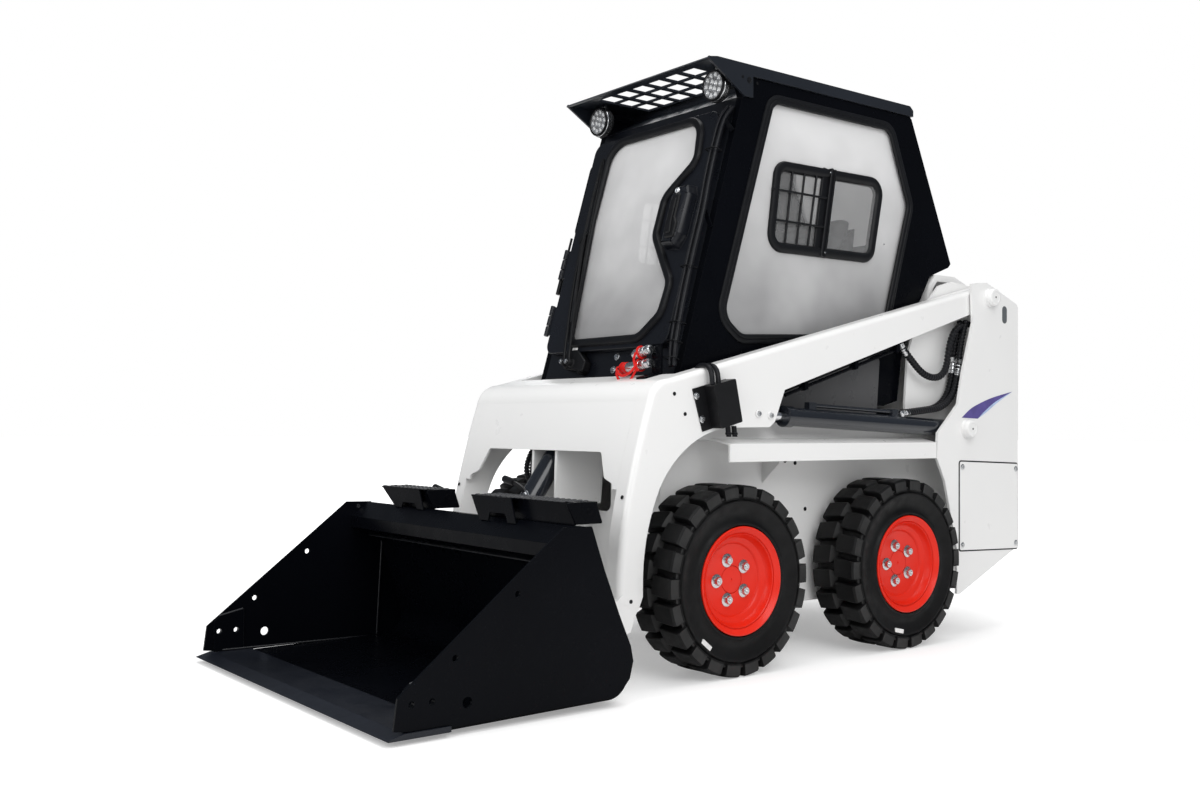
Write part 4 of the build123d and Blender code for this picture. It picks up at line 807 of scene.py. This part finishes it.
def work_lamp_faces():
    """Fourteen bright reflector cups in a ring of ten round a ring of four, in a bezel under a clear lens."""
    cups, lenses, bezels, beads, fins = [], [], [], [], []
    turns = np.concatenate([TURN * np.arange(4) / 4 + 0.4, TURN * np.arange(10) / 10])
    reach = np.repeat([13.0, 33.5], [4, 10])
    cup = ((0, 0), (0, 9.8), (3.0, 9.6), (3.0, 8.6), (1.6, 6.0), (0.8, 3.0), (0.8, 0))
    lens = ((5.6, 0), (5.6, LAMP_R - 1), (6.8, LAMP_R - 1), (7.4, LAMP_R * 0.6), (7.6, 0))
    bezel = ((-1, 0), (-1, 51), (6, 51), (8.6, 49.6), (8.8, 47), (7, 45.2), (1.6, 44.6), (1.6, 0))
    for _, side in SIDES:
        middle = (side * LAMP_AT[0], *LAMP_AT[1:])
        where, rear = (board(middle, (1, 0, 0), (0, 0, 1), (0, way, 0)) for way in (-1, 1))
        for a, b in zip(reach * np.cos(turns), reach * np.sin(turns)):
            spot = moved(where, a, b, 2)
            cups.append(turned(cup, spot, 14))
            beads.append(turned(((0.4, 0), (0.4, 3.6), (2.2, 3.4), (3.6, 1.8), (3.8, 0)), spot, 10))
        lenses.append(turned(lens, where, 64))
        bezels.append(turned(bezel, where, 72))
        for back, r in ((6, 54), (12, 54), (18, 54), (24, 51), (30, 46)):
            fin = ((back, 0), (back, r - 0.6), (back + 0.6, r), (back + 2.4, r), (back + 3, r - 0.6),
                   (back + 3, 0))
            fins.append(turned(fin, rear, 48))
    piece("lamp_cups", cups, "chassis", SILVER, crease=60)
    piece("lamp_beads", beads, "chassis", LABEL)
    piece("lamp_lenses", lenses, "chassis", LENS)
    piece("lamp_bezels", bezels, "chassis", PLASTIC)
    piece("lamp_fins", fins, "chassis", PLASTIC)


# ---------------------------------------------------------------- hoses
def hose_line(route):
    """Points along the NURBS spline that has the route's points, in mm, as its control points."""
    curve = bpy.data.curves.new("route", "CURVE")
    curve.dimensions = "3D"
    spline = curve.splines.new("NURBS")
    spline.points.add(len(route) - 1)
    control = np.column_stack([np.asarray(route, float) * MM, np.ones(len(route))])
    spline.points.foreach_set("co", control.ravel())
    spline.order_u = 3
    spline.use_endpoint_u = True
    spline.resolution_u = 16
    holder = bpy.data.objects.new("route", curve)
    mesh = bpy.data.meshes.new_from_object(holder)
    line = np.empty(len(mesh.vertices) * 3)
    mesh.vertices.foreach_get("co", line)
    bpy.data.objects.remove(holder)
    bpy.data.curves.remove(curve)
    bpy.data.meshes.remove(mesh)
    return line.reshape(-1, 3) / MM


def even(line, step):
    """A line resampled at even steps of its own length, and that length."""
    along = np.concatenate([[0], np.cumsum(np.linalg.norm(np.diff(line, axis=0), axis=1))])
    places = np.linspace(0, along[-1], max(3, int(round(along[-1] / step)) + 1))
    return np.stack([np.interp(places, along, line[:, k]) for k in range(3)], axis=-1), along[-1]


def hose(name, route, radius, body, ribbed=False, bend=None, up_hint=(1, 0, 0)):
    """A hose along its route: a smooth round tube, or a sleeve whose radius swells and sinks with its length.

    A ribbed sleeve's radius is r(s) = radius - depth * (1 - |sin(pi s / pitch)|). A bend, when given, only
    takes the hose off its body and fixes it where it stands; the body and places that the bend names are not
    used."""
    pitch = radius * 1.05
    line, length = even(hose_line(route), pitch / 4 if ribbed else radius)
    _, side, lift = frames_along(line, False, np.asarray(up_hint, float))
    section = circle(1, 18)
    count = np.arange(len(line))
    size = radius - (radius * 0.26 * (1 - np.abs(np.sin(math.pi * count / 4))) if ribbed else 0 * count)
    points = line[:, None] + size[:, None, None] * (section[None, :, :1] * side[:, None] + section[None, :, 1:]
                                                    * lift[:, None])
    thing = piece(name, [grid(points, wrap_v=True, cap=True)], body, HOSE, crease=60)
    if bend is not None:
        thing.parent = None
        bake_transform(thing)


def fitting(ahead, start, reach, size=11):
    """A crimped hose end: collar, waist, hexagon and ferrule rings along a direction."""
    axis = unit(ahead)
    a = unit(np.cross(axis, (1, 0.2, 0.1)))
    where = board(start, a, np.cross(axis, a), axis)
    rows = ((0, 0), (0, size * 0.8), (reach * 0.08, size), (reach * 0.2, size), (reach * 0.23, size * 0.82),
            (reach * 0.27, size), (reach * 0.4, size), (reach * 0.43, size * 0.82), (reach * 0.47, size),
            (reach * 0.6, size), (reach * 0.63, size * 0.7), (reach, size * 0.7), (reach, 0))
    nut = ((reach * 0.66, 0), (reach * 0.66, size), (reach * 0.69, size * 1.25), (reach * 0.92, size * 1.25),
           (reach * 0.95, size), (reach * 0.95, 0))
    return [turned(rows, where, 28), turned(nut, where, 36, hexagon(size * 1.08))]


# name, body, direction, starts, length and half width of each group of plated hose ends on the left
HOSE_ENDS = (
    ("tower_hose_ends", "chassis", (0, 0.2, 1), ((464, 1054, 952), (438, 1054, 960)), 66, 12.5),
    ("cylinder_hose_ends", "lift_barrel_{}", (0, -1, -0.1), ((464, 775, 813), (438, 775, 813)), 58, 10),
    ("arm_hose_ends", "lift_arms", (0, -0.66, 0.75), ((455, 766, 1018),), 52, 11),
)


def lift_hoses():
    """Sleeved hoses from each tower to its arm and its lift cylinder, with their plated ends."""
    for name, side in SIDES:
        upper = [(455, 1137, 1150), (455, 1080, 1142), (455, 1036, 1106), (455, 1012, 1044), (455, 1002, 985),
                 (455, 970, 948), (455, 915, 940), (455, 856, 956), (455, 797, 1000), (455, 743, 1046)]
        lower = [(450, 1108, 1160), (450, 1082, 1100), (450, 1064, 1020), (450, 1052, 940), (450, 1024, 876),
                 (450, 960, 832), (450, 868, 822), (450, 760, 812)]
        out = np.array([side, 1, 1])
        hose(f"arm_hose_{name}", np.array(upper) * out, 13, "chassis", ribbed=True,
             bend=("lift_arms", (side * 455, 1088, 1140), (side * 455, 1012, 1044)))
        for mark, shift in (("outer", 14), ("inner", -12)):
            route = np.array(lower) * out + (side * shift, 0, 0)
            hose(f"lift_hose_{mark}_{name}", route, 12, "chassis", ribbed=True,
                 bend=(f"lift_barrel_{name}", (side * 450, 1064, 1000), (side * 450, 960, 829)))
        for end, body, ahead, starts, reach, size in HOSE_ENDS:
            shapes = [shape for start in starts for shape in fitting(ahead, np.array(start) * out, reach, size)]
            piece(f"{end}_{name}", shapes, body.format(name), ZINC)


def cover_hoses():
    """Two hoses that come over the left arm into the black hose cover, and the stubs below it."""
    for k, y in enumerate((-224, -199)):
        route = [(428, y + 6, 905), (430, y + 4, 930), (444, y + 2, 946), (470, y, 948), (496, y - 2, 942),
                 (512, y - 4, 918), (513, y - 4, 888)]
        hose(f"cover_hose_{k + 1}", route, 8, "lift_arms", up_hint=(0, 1, 0))
    stub = ((0, 0), (0, 8), (20, 8), (21, 10), (27, 10), (28, 8), (34, 8), (34, 0))
    stubs = [turned(stub, board((505, y, 762), (1, 0, 0), (0, 1, 0), (0, 0.15, -1)), 24) for y in (-156, -130)]
    piece("cover_stubs", stubs, "lift_arms", HOSE)
    bolts = []
    side = side_board(1, 488)
    for y, z in ((-269, 852), (-246, 782)):
        bolts += hex_bolt(moved(side, y, z), 7, 1.9)
    piece("cover_bolts", bolts, "lift_arms", ZINC)


def tilt_hoses():
    """Two ribbed hoses beside the tilt cylinder, hanging behind the cross sheet."""
    for k, x in enumerate((-108, -140)):
        route = [(x + 20, -400, 566), (x + 16, -440, 568), (x + 6, -462, 585), (x, -462, 625), (x, -446, 665),
                 (x + 4, -424, 700), (x + 8, -400, 722), (x + 10, -370, 735)]
        hose(f"tilt_hose_{k + 1}", route, 10, "lift_arms", ribbed=True)


# ---------------------------------------------------------------- towers and arms
PANEL_X = 503
FRAME_HALF = 345
STRIPE = ((1030, 797), (1082, 829), (1137, 850), (1221, 874), (1346, 899), (1240, 859), (1176, 825),
          (1128, 794))
PLUG = ((0, 0), (0, 6), (1, 6), (2, 4.8), (2.2, 0))


def pin_cap(where):
    """A pivot's round boss with an eased rim and its pin end, and a small dark nub in its middle: painted shade
    for the grease hole.
    """
    rows = ((0, 0), (0, 36), (4, 34), (8, 32.5), (24, 32), (27, 30), (28, 27), (28, 21), (26.5, 20), (26.5, 0))
    hole = ((25, 0), (25, 3.6), (27, 3.6), (27.6, 2.6), (27.2, 0))
    return turned(rows, where, 56), turned(hole, where, 14)


def tower_dressing():
    """Pin ends, the lifting slot's painted shade, the access panel's bolts and seal, sweeps and small plugs on
    both towers.
    """
    for name, side in SIDES:
        wall = side_board(side, TOWER_OUT)
        ends = [pin_cap(moved(wall, y, z)) for y, z in (LIFT_PIVOT, LIFT_BASE)]
        piece(f"tower_bosses_{name}", [end[0] for end in ends], "chassis", WHITE)
        # Dark nubs in the pin ends' middles: painted shade for the grease holes.
        piece(f"grease_hole_shade_{name}", [end[1] for end in ends], "chassis", SEAL)
        # A thin grey sheet over the lifting slot: painted shade inside the slot.
        slot_edge = box_outline(1283, 1158, 1313, 1224, 14.5, 8)
        piece(f"lifting_slot_shade_{name}", [plate(slot_edge, 0, 0.6, wall, 0.1)], "chassis", GREY_IRON)
        bolts = []
        panel = side_board(side, PANEL_X)
        for y, z in ((1031, 616), (1366, 603), (1031, 330), (1366, 320)):
            bolts += hex_bolt(moved(panel, y, z), 6.5, 2.0)
        piece(f"panel_bolts_{name}", bolts, "chassis", ZINC)
        outline = rounded(((1017, 312), (1017, 636), (1380, 622), (1380, 300)), 8, 6)
        seam = bead(inset(outline, -2), wall, rib(3.2, 1.8))
        piece(f"panel_seal_{name}", [seam], "chassis", SEAL)
        front = np.array(STRIPE, float)
        upper = drawn(front[:5], 8)
        under = drawn(front[[4, 5, 6, 7]], 8)
        sweep = np.vstack([upper, under[1:], [front[0]]])[:-1]
        piece(f"violet_sweep_{name}", [plate(sweep, 0, 0.7, wall, 0.1)], "chassis", VIOLET,
              crease=20)
        swell = np.sin(np.linspace(0, math.pi, len(under)))[1:, None]
        lower = np.vstack([under, under[::-1][1:] + (5, -8) * swell])
        piece(f"pale_sweep_{name}", [plate(lower[:-1], 0, 0.7, wall, 0.05)], "chassis", PALE_BLUE,
              crease=20)
        plugs = []
        skirt = side_board(side, FRAME_HALF)
        for y, z in ((264, 645), (313, 637), (621, 658), (692, 657), (363, 479)):
            plugs.append(turned(((0, 0), (0, 7), (1.2, 7), (2.4, 5.6), (2.6, 0)), moved(skirt, y, z), 20))
        piece(f"frame_plugs_{name}", plugs, "chassis", SEAL)


def side_decks():
    """White folded sheet between each fender's ledge and the cab, behind the lift cylinder."""
    for name, side in SIDES:
        fold = np.array([(408, 719), (407, 723), (400, 732), (388, 752), (382, 772), (378, 774), (377.5, 768),
                         (382, 750), (392, 732), (400, 719)])
        stations = np.array([(-236, 0.15), (-200, 0.55), (-140, 1.0), (300, 1.0), (700, 0.9), (990, 0.8)])
        points = np.empty((len(stations), len(fold), 3))
        points[:, :, 0] = side * fold[None, :, 0]
        points[:, :, 1] = stations[:, :1]
        points[:, :, 2] = 719 + (fold[None, :, 1] - 719) * stations[:, 1:]
        piece(f"side_deck_{name}", [grid(points, wrap_v=True, cap=True)], "chassis", WHITE)


def smoked_panels():
    """Smoked lower side panels below the windows, seen between the arm and the lift cylinder."""
    for name, side in SIDES:
        wall = side_board(side, CAB_HALF)
        outline = rounded(((60, 806), (700, 806), (716, 1006), (60, 1006)), 10, 5)
        piece(f"smoked_panel_{name}", [plate(outline, 0, 2, wall, 0.5)], "chassis", SMOKED)


# across, up the sheet and out of it
ON_CROSS_SHEET = (1, 0, 0), (0, 0.36, 1), (0, -1, 0.36)


def arm_dressing():
    """Bosses, bolts and plugs on the arms, and the bolted tab on the cross sheet."""
    for name, side in SIDES:
        wall = side_board(side, ARM_OUT)
        bright, white = [], []
        for y, z in ((-4, 801), (51, 796)):
            white.append(turned(((0, 0), (0, 13), (4, 13), (5, 12), (5, 0)), moved(wall, y, z), 28))
            bright += hex_bolt(moved(wall, y, z, 5), 6.5, 1.6)
        piece(f"rod_pin_bosses_{name}", white, "lift_arms", WHITE)
        piece(f"rod_pin_bolts_{name}", bright, "lift_arms", ZINC)
        spots = [moved(wall, y, z) for y, z in ((-518, 252), (-355, 857), (-312, 797))]
        spots.append(board((side * 457, -531, 553), *ON_CROSS_SHEET))
        plugs = [turned(PLUG, spot, 18) for spot in spots]
        piece(f"arm_plugs_{name}", plugs, "lift_arms", SEAL)
    where = board((396, -399, 850), *ON_CROSS_SHEET)
    piece("hose_tab", [plate(box_outline(-32, -30, 32, 30, 5, 5), 0, 5, where, 1)], "lift_arms", BLACK)
    bolts = []
    for x in (-16, 16):
        bolts += hex_bolt(moved(where, x, 4, 5), 7, 1.9)
    piece("hose_tab_bolts", bolts, "lift_arms", ZINC)


# ---------------------------------------------------------------- couplers
COUPLERS = (((333, -319, 1000), (249, -319, 984)), ((333, -319, 957), (200, -319, 943)))


def coupler_bodies():
    """Plated flat-face couplers in stepped rings, with their red caps and strap loops."""
    rings, caps = [], []
    for (x0, y0, z0), (x1, y1, z1) in COUPLERS:
        back, tip = np.array((x0, y0, z0), float), np.array((x1, y1, z1), float)
        axis = unit(tip - back)
        where = board(back, np.cross(axis, (0, 1, 0)), (0, 1, 0), axis)
        reach = np.linalg.norm(tip - back)
        rows = [(0, 0), (0, 9), (8, 9), (9, 13), (26, 13), (27, 15.5), (44, 15.5), (45, 13.5), (49, 13.5),
                (50, 15.8), (62, 15.8), (63, 13), (reach * 0.94, 13), (reach * 0.96, 11.5), (reach, 11.5),
                (reach, 0)]
        rings.append(turned(rows, where, 36))
        rings.append(turned(((4, 0), (4, 11), (5, 16), (17, 16), (18, 11), (18, 0)), where, 36, hexagon(14.5)))
    for (back, tip), along in zip(COUPLERS, (48, 52)):
        axis = unit(np.subtract(tip, back))
        ring = np.asarray(back, float) + axis * along
        turn = np.linspace(0, TURN, 28, endpoint=False)
        loop = ring + 18.5 * (np.cos(turn)[:, None] * np.array([0, 1, 0]) + np.sin(turn)[:, None]
                              * np.cross(axis, (0, 1, 0)))
        caps.append(carried(flat_bar(3, 2), loop, closed=True, up_hint=axis))
    tip = np.array(COUPLERS[1][1], float)
    axis = unit(tip - np.array(COUPLERS[1][0], float))
    where = board(tip - 22 * axis, np.cross(axis, (0, 1, 0)), (0, 1, 0), axis)
    caps.append(turned(((0, 0), (0, 17), (2, 18), (20, 18), (24, 16.5), (26, 13), (26, 0)), where, 36))
    caps.append(turned(((20, 0), (20, 20), (23, 21), (26, 20), (26, 0)), where, 36))
    for lift, drop in ((1, 30), (-1, 42)):
        start = tip + 4 * axis + (0, -14, 6 * lift)
        strap = drawn([start, start + (6, -20, -8), start + (34, -22, -drop), start + (74, -20, -drop + 8),
                       start + (96, -8, 6)], 8)
        caps.append(carried(flat_bar(4, 1.6), strap, up_hint=(0, 1, 0)))
    back, tip = COUPLERS[0]
    hang = np.array(back, float) + unit(np.subtract(tip, back)) * 52 + (0, -20, 0)
    strap = drawn([hang, hang + (-4, -4, -20), hang + (2, -4, -42), hang + (14, 0, -58)], 8)
    caps.append(carried(flat_bar(4, 1.6), strap, up_hint=(0, 1, 0)))
    piece("coupler_rings", rings, "lift_arms", ZINC)
    piece("coupler_caps", caps, "lift_arms", RED_PLASTIC, crease=40)


# ---------------------------------------------------------------- bucket
BUCKET_SIDE, STEP_TOP = 632, 552
WELD_PITCH = 5.0


def weld(path, size, hint):
    """A ripple weld: a low rib whose size swells at each bead, size * (0.8 + 0.2 |sin|) along its length."""
    line, _ = even(np.asarray(path, float), WELD_PITCH / 3)
    _, side, lift = frames_along(line, False, np.asarray(hint, float))
    turn = np.linspace(0, TURN, 8, endpoint=False)
    wave = size * (0.8 + 0.2 * np.abs(np.sin(math.pi * np.arange(len(line)) / 3)))
    points = line[:, None] + wave[:, None, None] * (np.cos(turn)[None, :, None] * side[:, None]
                                                    + np.sin(turn)[None, :, None] * lift[:, None])
    return grid(points, wrap_v=True, cap=True)


def bucket_dressing():
    """Weld beads along the bucket's side plates, floor and top beam."""
    runs = []
    for _, side in SIDES:
        for x, *ends in ((624, (-1308, 33), (-760, 26)), (624, (-760, 30), (-742, 372)),
                         (BUCKET_SIDE, (-1318, 142), (-1238, 159)), (BUCKET_SIDE, (-1237, 158), (-1237, 34))):
            runs.append(weld([(side * x, y, z) for y, z in ends], 3, (side, 0.01, 0)))
    runs.append(weld(((-618, -796, 377), (618, -796, 377)), 2.6, (0, 1, 0)))
    piece("bucket_welds", runs, "bucket", WELD, crease=70)
    plugs = []
    for _, side in SIDES:
        wall = side_board(side, BUCKET_SIDE)
        for y, z, r in ((-800, 449, 15), (-829, 477, 7)):
            plug = ((0, 0), (0, r), (1.4, r - 0.6), (1.6, r * 0.72), (0.5, r * 0.62), (0.5, 0))
            plugs.append(turned(plug, moved(wall, y, z), 32))
    piece("bucket_side_plugs", plugs, "bucket", WELD)


def step_plates():
    """Rows of raised grip buttons with punched middles on the bucket's steps."""
    buttons = []
    button = ((0, 0), (0, 8.5), (1.2, 8.2), (2.6, 6), (2.8, 4.6), (1.0, 3.8), (0.4, 3.6), (0.4, 0))
    flat = board((0, 0, STEP_TOP), (1, 0, 0), (0, 1, 0), (0, 0, 1))
    for start, finish in ((100, 552), (-492, -204)):
        across = np.arange(start, finish - 8, 27.0)
        for row, y in enumerate((-800, -780, -760, -740, -720)):
            for x in across + (13.5 if row % 2 else 0):
                buttons.append(turned(button, moved(flat, x, y), 10))
    piece("step_grips", buttons, "bucket", WELD, crease=50)


def step_ends():
    """Folded end plates that close the steps, with a round corner and a hole's rim."""
    shapes = []
    outline = rounded(((-815, STEP_TOP), (-712, STEP_TOP), (-690, 492), (-782, 492)), (6, 16, 4, 4), 6)
    rim = ((0, 0), (0, 9), (6.4, 9), (6.4, 6), (5.2, 5.4), (5.2, 0))
    for x in (566, -190):
        wall = side_board(1, x)
        shapes += [plate(outline, 0, 5, wall, 0.8), turned(rim, moved(wall, -735, 528), 24)]
    piece("step_end_plates", shapes, "bucket", BLACK)


def attach_levers():
    """Two handles of the quick attach frame: a bar, a rubber grip and a pivot bolt each."""
    grips, bolts = [], []
    for foot, bend, tip, z in ((216, 190, 84, 552), (-216, -242, -340, 508)):
        middle = (bend + tip) / 2
        end = (tip, -694, z + 44)
        route = [(foot, -700, z), (bend, -700, z + 20), (middle, -698, z + 36), end]
        grips.append(carried(rib(6, 6, 9, -6), drawn(route, 8), up_hint=(0, 1, 0)))
        grips.append(carried(circle(11, 14), [(middle + 6, -698, z + 35), end], up_hint=(0, 1, 0)))
        bolts += hex_bolt(board((foot, -704, z), (1, 0, 0), (0, 0, 1), (0, -1, 0)), 9, 2.0)
    piece("attach_levers", grips, "bucket", PLASTIC)
    piece("attach_lever_bolts", bolts, "bucket", ZINC)


# ---------------------------------------------------------------- cab inside
SEAT_HALF = 222
VOXEL, CLOTH_FRAMES = 0.006, 20


def pad(name, outline, channels, cap):
    """A padded vinyl form: its closed outline (y, z) is rounded out over the seat's width, blown up as cloth
    from a slightly smaller shape, then pressed in along sewn channels that run across the seat.

    Each channel presses a point in by 7 mm * exp(-(d / 9)^2), d its distance from the channel's line."""
    rows = [(back, -SEAT_HALF + along) for back, along in ((34, 0), (16, 5), (8, 16), (5, 40))]
    rows += [(back, -place_across) for back, place_across in rows[::-1]]
    thing = piece(name, [raised(rounded(outline, 22, 6), rows, side_board(1, 0))], "chassis", VINYL)
    even_skin = thing.modifiers.new("even", "REMESH")
    even_skin.mode = "VOXEL"
    even_skin.voxel_size = VOXEL
    even_skin.use_smooth_shade = True
    bake(thing)
    mesh = thing.data
    start = corners_of(mesh)
    cloth = thing.modifiers.new("air", "CLOTH")
    cloth.settings.use_pressure = True
    cloth.settings.uniform_pressure_force = 4
    cloth.settings.effector_weights.gravity = 0
    for frame_number in range(1, CLOTH_FRAMES + 1):
        bpy.context.scene.frame_set(frame_number)
    bake(thing)
    bpy.context.scene.frame_set(1)
    shift = corners_of(thing.data) - start
    length = np.linalg.norm(shift, axis=1, keepdims=True)
    place(thing.data, start + shift * np.minimum(1, cap * MM / np.maximum(length, 1e-9)))
    points = corners_of(thing.data)
    normals = np.empty(len(points) * 3)
    thing.data.vertices.foreach_get("normal", normals)
    for y, z, along in channels:
        away = (points[:, 1:] / MM - (y, z)) @ unit(along)
        points -= normals.reshape(-1, 3) * (7 * MM * np.exp(-(away / 9) ** 2))[:, None]
    place(thing.data, points)


def corners_of(mesh):
    """The mesh's points as rows."""
    points = np.empty(len(mesh.vertices) * 3)
    mesh.vertices.foreach_get("co", points)
    return points.reshape(-1, 3)


def place(mesh, points):
    """Moves the mesh's points."""
    mesh.vertices.foreach_set("co", np.asarray(points).ravel())
    mesh.update()


def bake(thing):
    """Replaces a mesh by what its modifiers make of it."""
    bpy.context.view_layer.update()
    shaped = bpy.data.meshes.new_from_object(thing.evaluated_get(bpy.context.evaluated_depsgraph_get()))
    thing.modifiers.clear()
    thing.data = shaped


def seat_pads():
    """The operator's seat: a cushion and a leaning back with sewn channels, on a moulded pan."""
    pad("seat_cushion", ((300, 1086), (300, 1142), (628, 1124), (628, 1078)),
        [(y, 1120, (1, 0)) for y in (380, 460, 540)], 12)
    pad("seat_back", ((652, 1128), (640, 1140), (700, 1548), (764, 1548), (716, 1128)),
        [(660, z, (0.15, 1)) for z in (1220, 1310, 1400, 1480)], 12)
    pan = rounded(((292, 1044), (292, 1086), (640, 1076), (716, 1120), (764, 1500), (776, 1500), (722, 1044)),
                  8, 5)
    rows = ((8, -SEAT_HALF + 10), (0, -SEAT_HALF + 18), (0, SEAT_HALF - 18), (8, SEAT_HALF - 10))
    base = piece("seat_pan", [raised(pan, rows, side_board(1, 0))], "chassis", PLASTIC)
    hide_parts("seat")


def cab_inside():
    """Ribbed boots and grips on the two drive levers."""
    boots, grips = [], []
    for _, side in SIDES:
        where = board((side * 200, -40, 760), (1, 0, 0), (0, 1, 0), (0, 0, 1))
        ribs = [(0, 0), (0, 56)]
        for k in range(6):
            ribs += [(8 + 22 * k, 54 - 6.5 * k), (18 + 22 * k, 44 - 6.5 * k)]
        ribs += [(150, 12), (150, 0)]
        boots.append(turned(ribs, where, 32))
        grip = ((410, 0), (410, 20), (420, 23), (440, 22), (460, 24), (480, 22), (500, 24), (520, 22),
                (536, 20), (544, 12), (546, 0))
        grips.append(turned(grip, where, 32))
    piece("lever_boots", boots, "chassis", SEAL, crease=60)
    piece("lever_grips", grips, "chassis", PLASTIC, crease=60)


def roof_dressing():
    """Dark discs over the holes in the roof's side wings, each a raised rim round a dark centre that is painted
    shade inside the hole.
    """
    eyes = []
    for _, side in SIDES:
        wall = side_board(side, ROOF_HALF)
        for y, z, r in ((52, 1893, 9), (22, 1899, 3.4), (88, 1889, 3.4)):
            ring = ((0, 0), (0, r + 1.6), (0.8, r + 1.6), (1.0, r), (0.2, r * 0.9), (0.2, 0))
            # Raised rim round a thin dark disc: painted shade inside the hole.
            eyes.append(turned(ring, moved(wall, y, z), 28))
    piece("roof_hole_rims_and_shade", eyes, "chassis", SEAL)


# ---------------------------------------------------------------- studio
CAMERA_AT = 3.2014, -2.7314, 0.7621
AZIMUTH, ELEVATION, ROLL = 52.35, -1.05, 0.32


def stand(thing, right, above, back, place):
    """Put a camera or a lamp in the scene at a place in metres, given its three axes."""
    rows = np.eye(4)
    rows[:3] = np.column_stack([right, above, back, place])
    thing.matrix_world = Matrix(rows.tolist())
    bpy.context.scene.collection.objects.link(thing)


def studio():
    """Camera at the side of the bucket, pale floor, white surroundings for the camera and soft lamps."""
    scene = bpy.context.scene
    scene.view_settings.view_transform = "Standard"
    azimuth, elevation, roll = (math.radians(a) for a in (AZIMUTH, ELEVATION, ROLL))
    back = np.array([math.sin(azimuth) * math.cos(elevation), -math.cos(azimuth) * math.cos(elevation),
                     math.sin(elevation)])
    right = unit(np.cross(-back, (0, 0, 1)))
    above = np.cross(right, -back)
    right, above = (right * math.cos(roll) + above * math.sin(roll),
                    above * math.cos(roll) - right * math.sin(roll))
    camera = bpy.data.objects.new("camera", bpy.data.cameras.new("camera"))
    camera.data.lens = 36.25
    camera.data.sensor_width = 36
    stand(camera, right, above, back, CAMERA_AT)
    scene.camera = camera

    world = bpy.data.worlds.new("studio_air")
    world.use_nodes = True
    scene.world = world
    tree = world.node_tree
    lit = tree.nodes["Background"]
    seen, mirrored = (tree.nodes.new("ShaderNodeBackground") for _ in range(2))
    for node, colour, strength in ((lit, (1, 1, 1, 1), 0.62), (seen, (1, 1, 1, 1), 1.0),
                                   (mirrored, (0.80, 0.88, 1, 1), 0.16)):
        node.inputs["Color"].default_value = colour
        node.inputs["Strength"].default_value = strength
    path = tree.nodes.new("ShaderNodeLightPath")
    either = tree.nodes.new("ShaderNodeMath")
    either.operation = "MAXIMUM"
    tree.links.new(path.outputs["Is Camera Ray"], either.inputs[0])
    tree.links.new(path.outputs["Is Transmission Ray"], either.inputs[1])
    dim, mix = (tree.nodes.new("ShaderNodeMixShader") for _ in range(2))
    for node, sources in ((dim, (path.outputs["Is Glossy Ray"], lit.outputs[0], mirrored.outputs[0])),
                          (mix, (either.outputs[0], dim.outputs[0], seen.outputs[0]))):
        for source, socket in zip(sources, node.inputs):
            tree.links.new(source, socket)
    tree.links.new(mix.outputs[0], tree.nodes["World Output"].inputs["Surface"])

    floor_mesh = bpy.data.meshes.new("floor")
    corners = [(-60, -60, 0), (60, -60, 0), (60, 60, 0), (-60, 60, 0)]
    floor_mesh.from_pydata(corners, [], [(0, 1, 2, 3)])
    floor = bpy.data.objects.new("floor", floor_mesh)
    scene.collection.objects.link(floor)
    n = Nodes("pale_floor", Roughness=0.9, Specular_IOR_Level=0.1, Emission_Color=(1, 1, 1, 1))
    n.drive("Base Color", n.blend(n.spread(n.noise(0.8, 2), 0, 1), (0.80, 0.80, 0.80), (0.83, 0.83, 0.83)))
    away = n.add("VectorMath", {"Vector": n.coords}, operation="LENGTH").outputs["Value"]
    seen_by = n.add("LightPath").outputs["Is Camera Ray"]
    glow = n.add("Math", operation="MULTIPLY")
    n.tree.links.new(n.spread(away, 0.30, 1.0, 1.4, 4.5), glow.inputs[0])
    n.tree.links.new(seen_by, glow.inputs[1])
    n.drive("Emission Strength", glow.outputs[0])
    floor_mesh.materials.append(n.material)

    lamps = (
        ("key_lamp", (4.2, -1.5, 3.6), 3.2, 100),
        ("front_lamp", (1.0, -5.0, 3.0), 3.0, 70),
        ("back_lamp", (-3.5, 3.0, 3.8), 3.0, 60),
        ("top_lamp", (0.3, 0.2, 5.0), 3.5, 90),
    )
    for name, place, width, power in lamps:
        lamp = bpy.data.lights.new(name, "AREA")
        lamp.shape = "SQUARE"
        lamp.size = width
        lamp.energy = power
        thing = bpy.data.objects.new(name, lamp)
        aim = unit(np.array(place) - np.array([0, 0, 0.8]))
        across = unit(np.cross((0, 1, 0) if abs(aim[2]) > 0.95 else (0, 0, 1), aim))
        stand(thing, across, np.cross(aim, across), aim, place)


studio()
finish_nodes()
wheels()
side_windows()
cab_door_panel()
front_dressing()
wiper()
work_lamp_faces()
lift_hoses()
cover_hoses()
tilt_hoses()
tower_dressing()
side_decks()
smoked_panels()
arm_dressing()
coupler_bodies()
bucket_dressing()
step_plates()
step_ends()
attach_levers()
seat_pads()
cab_inside()
roof_dressing()
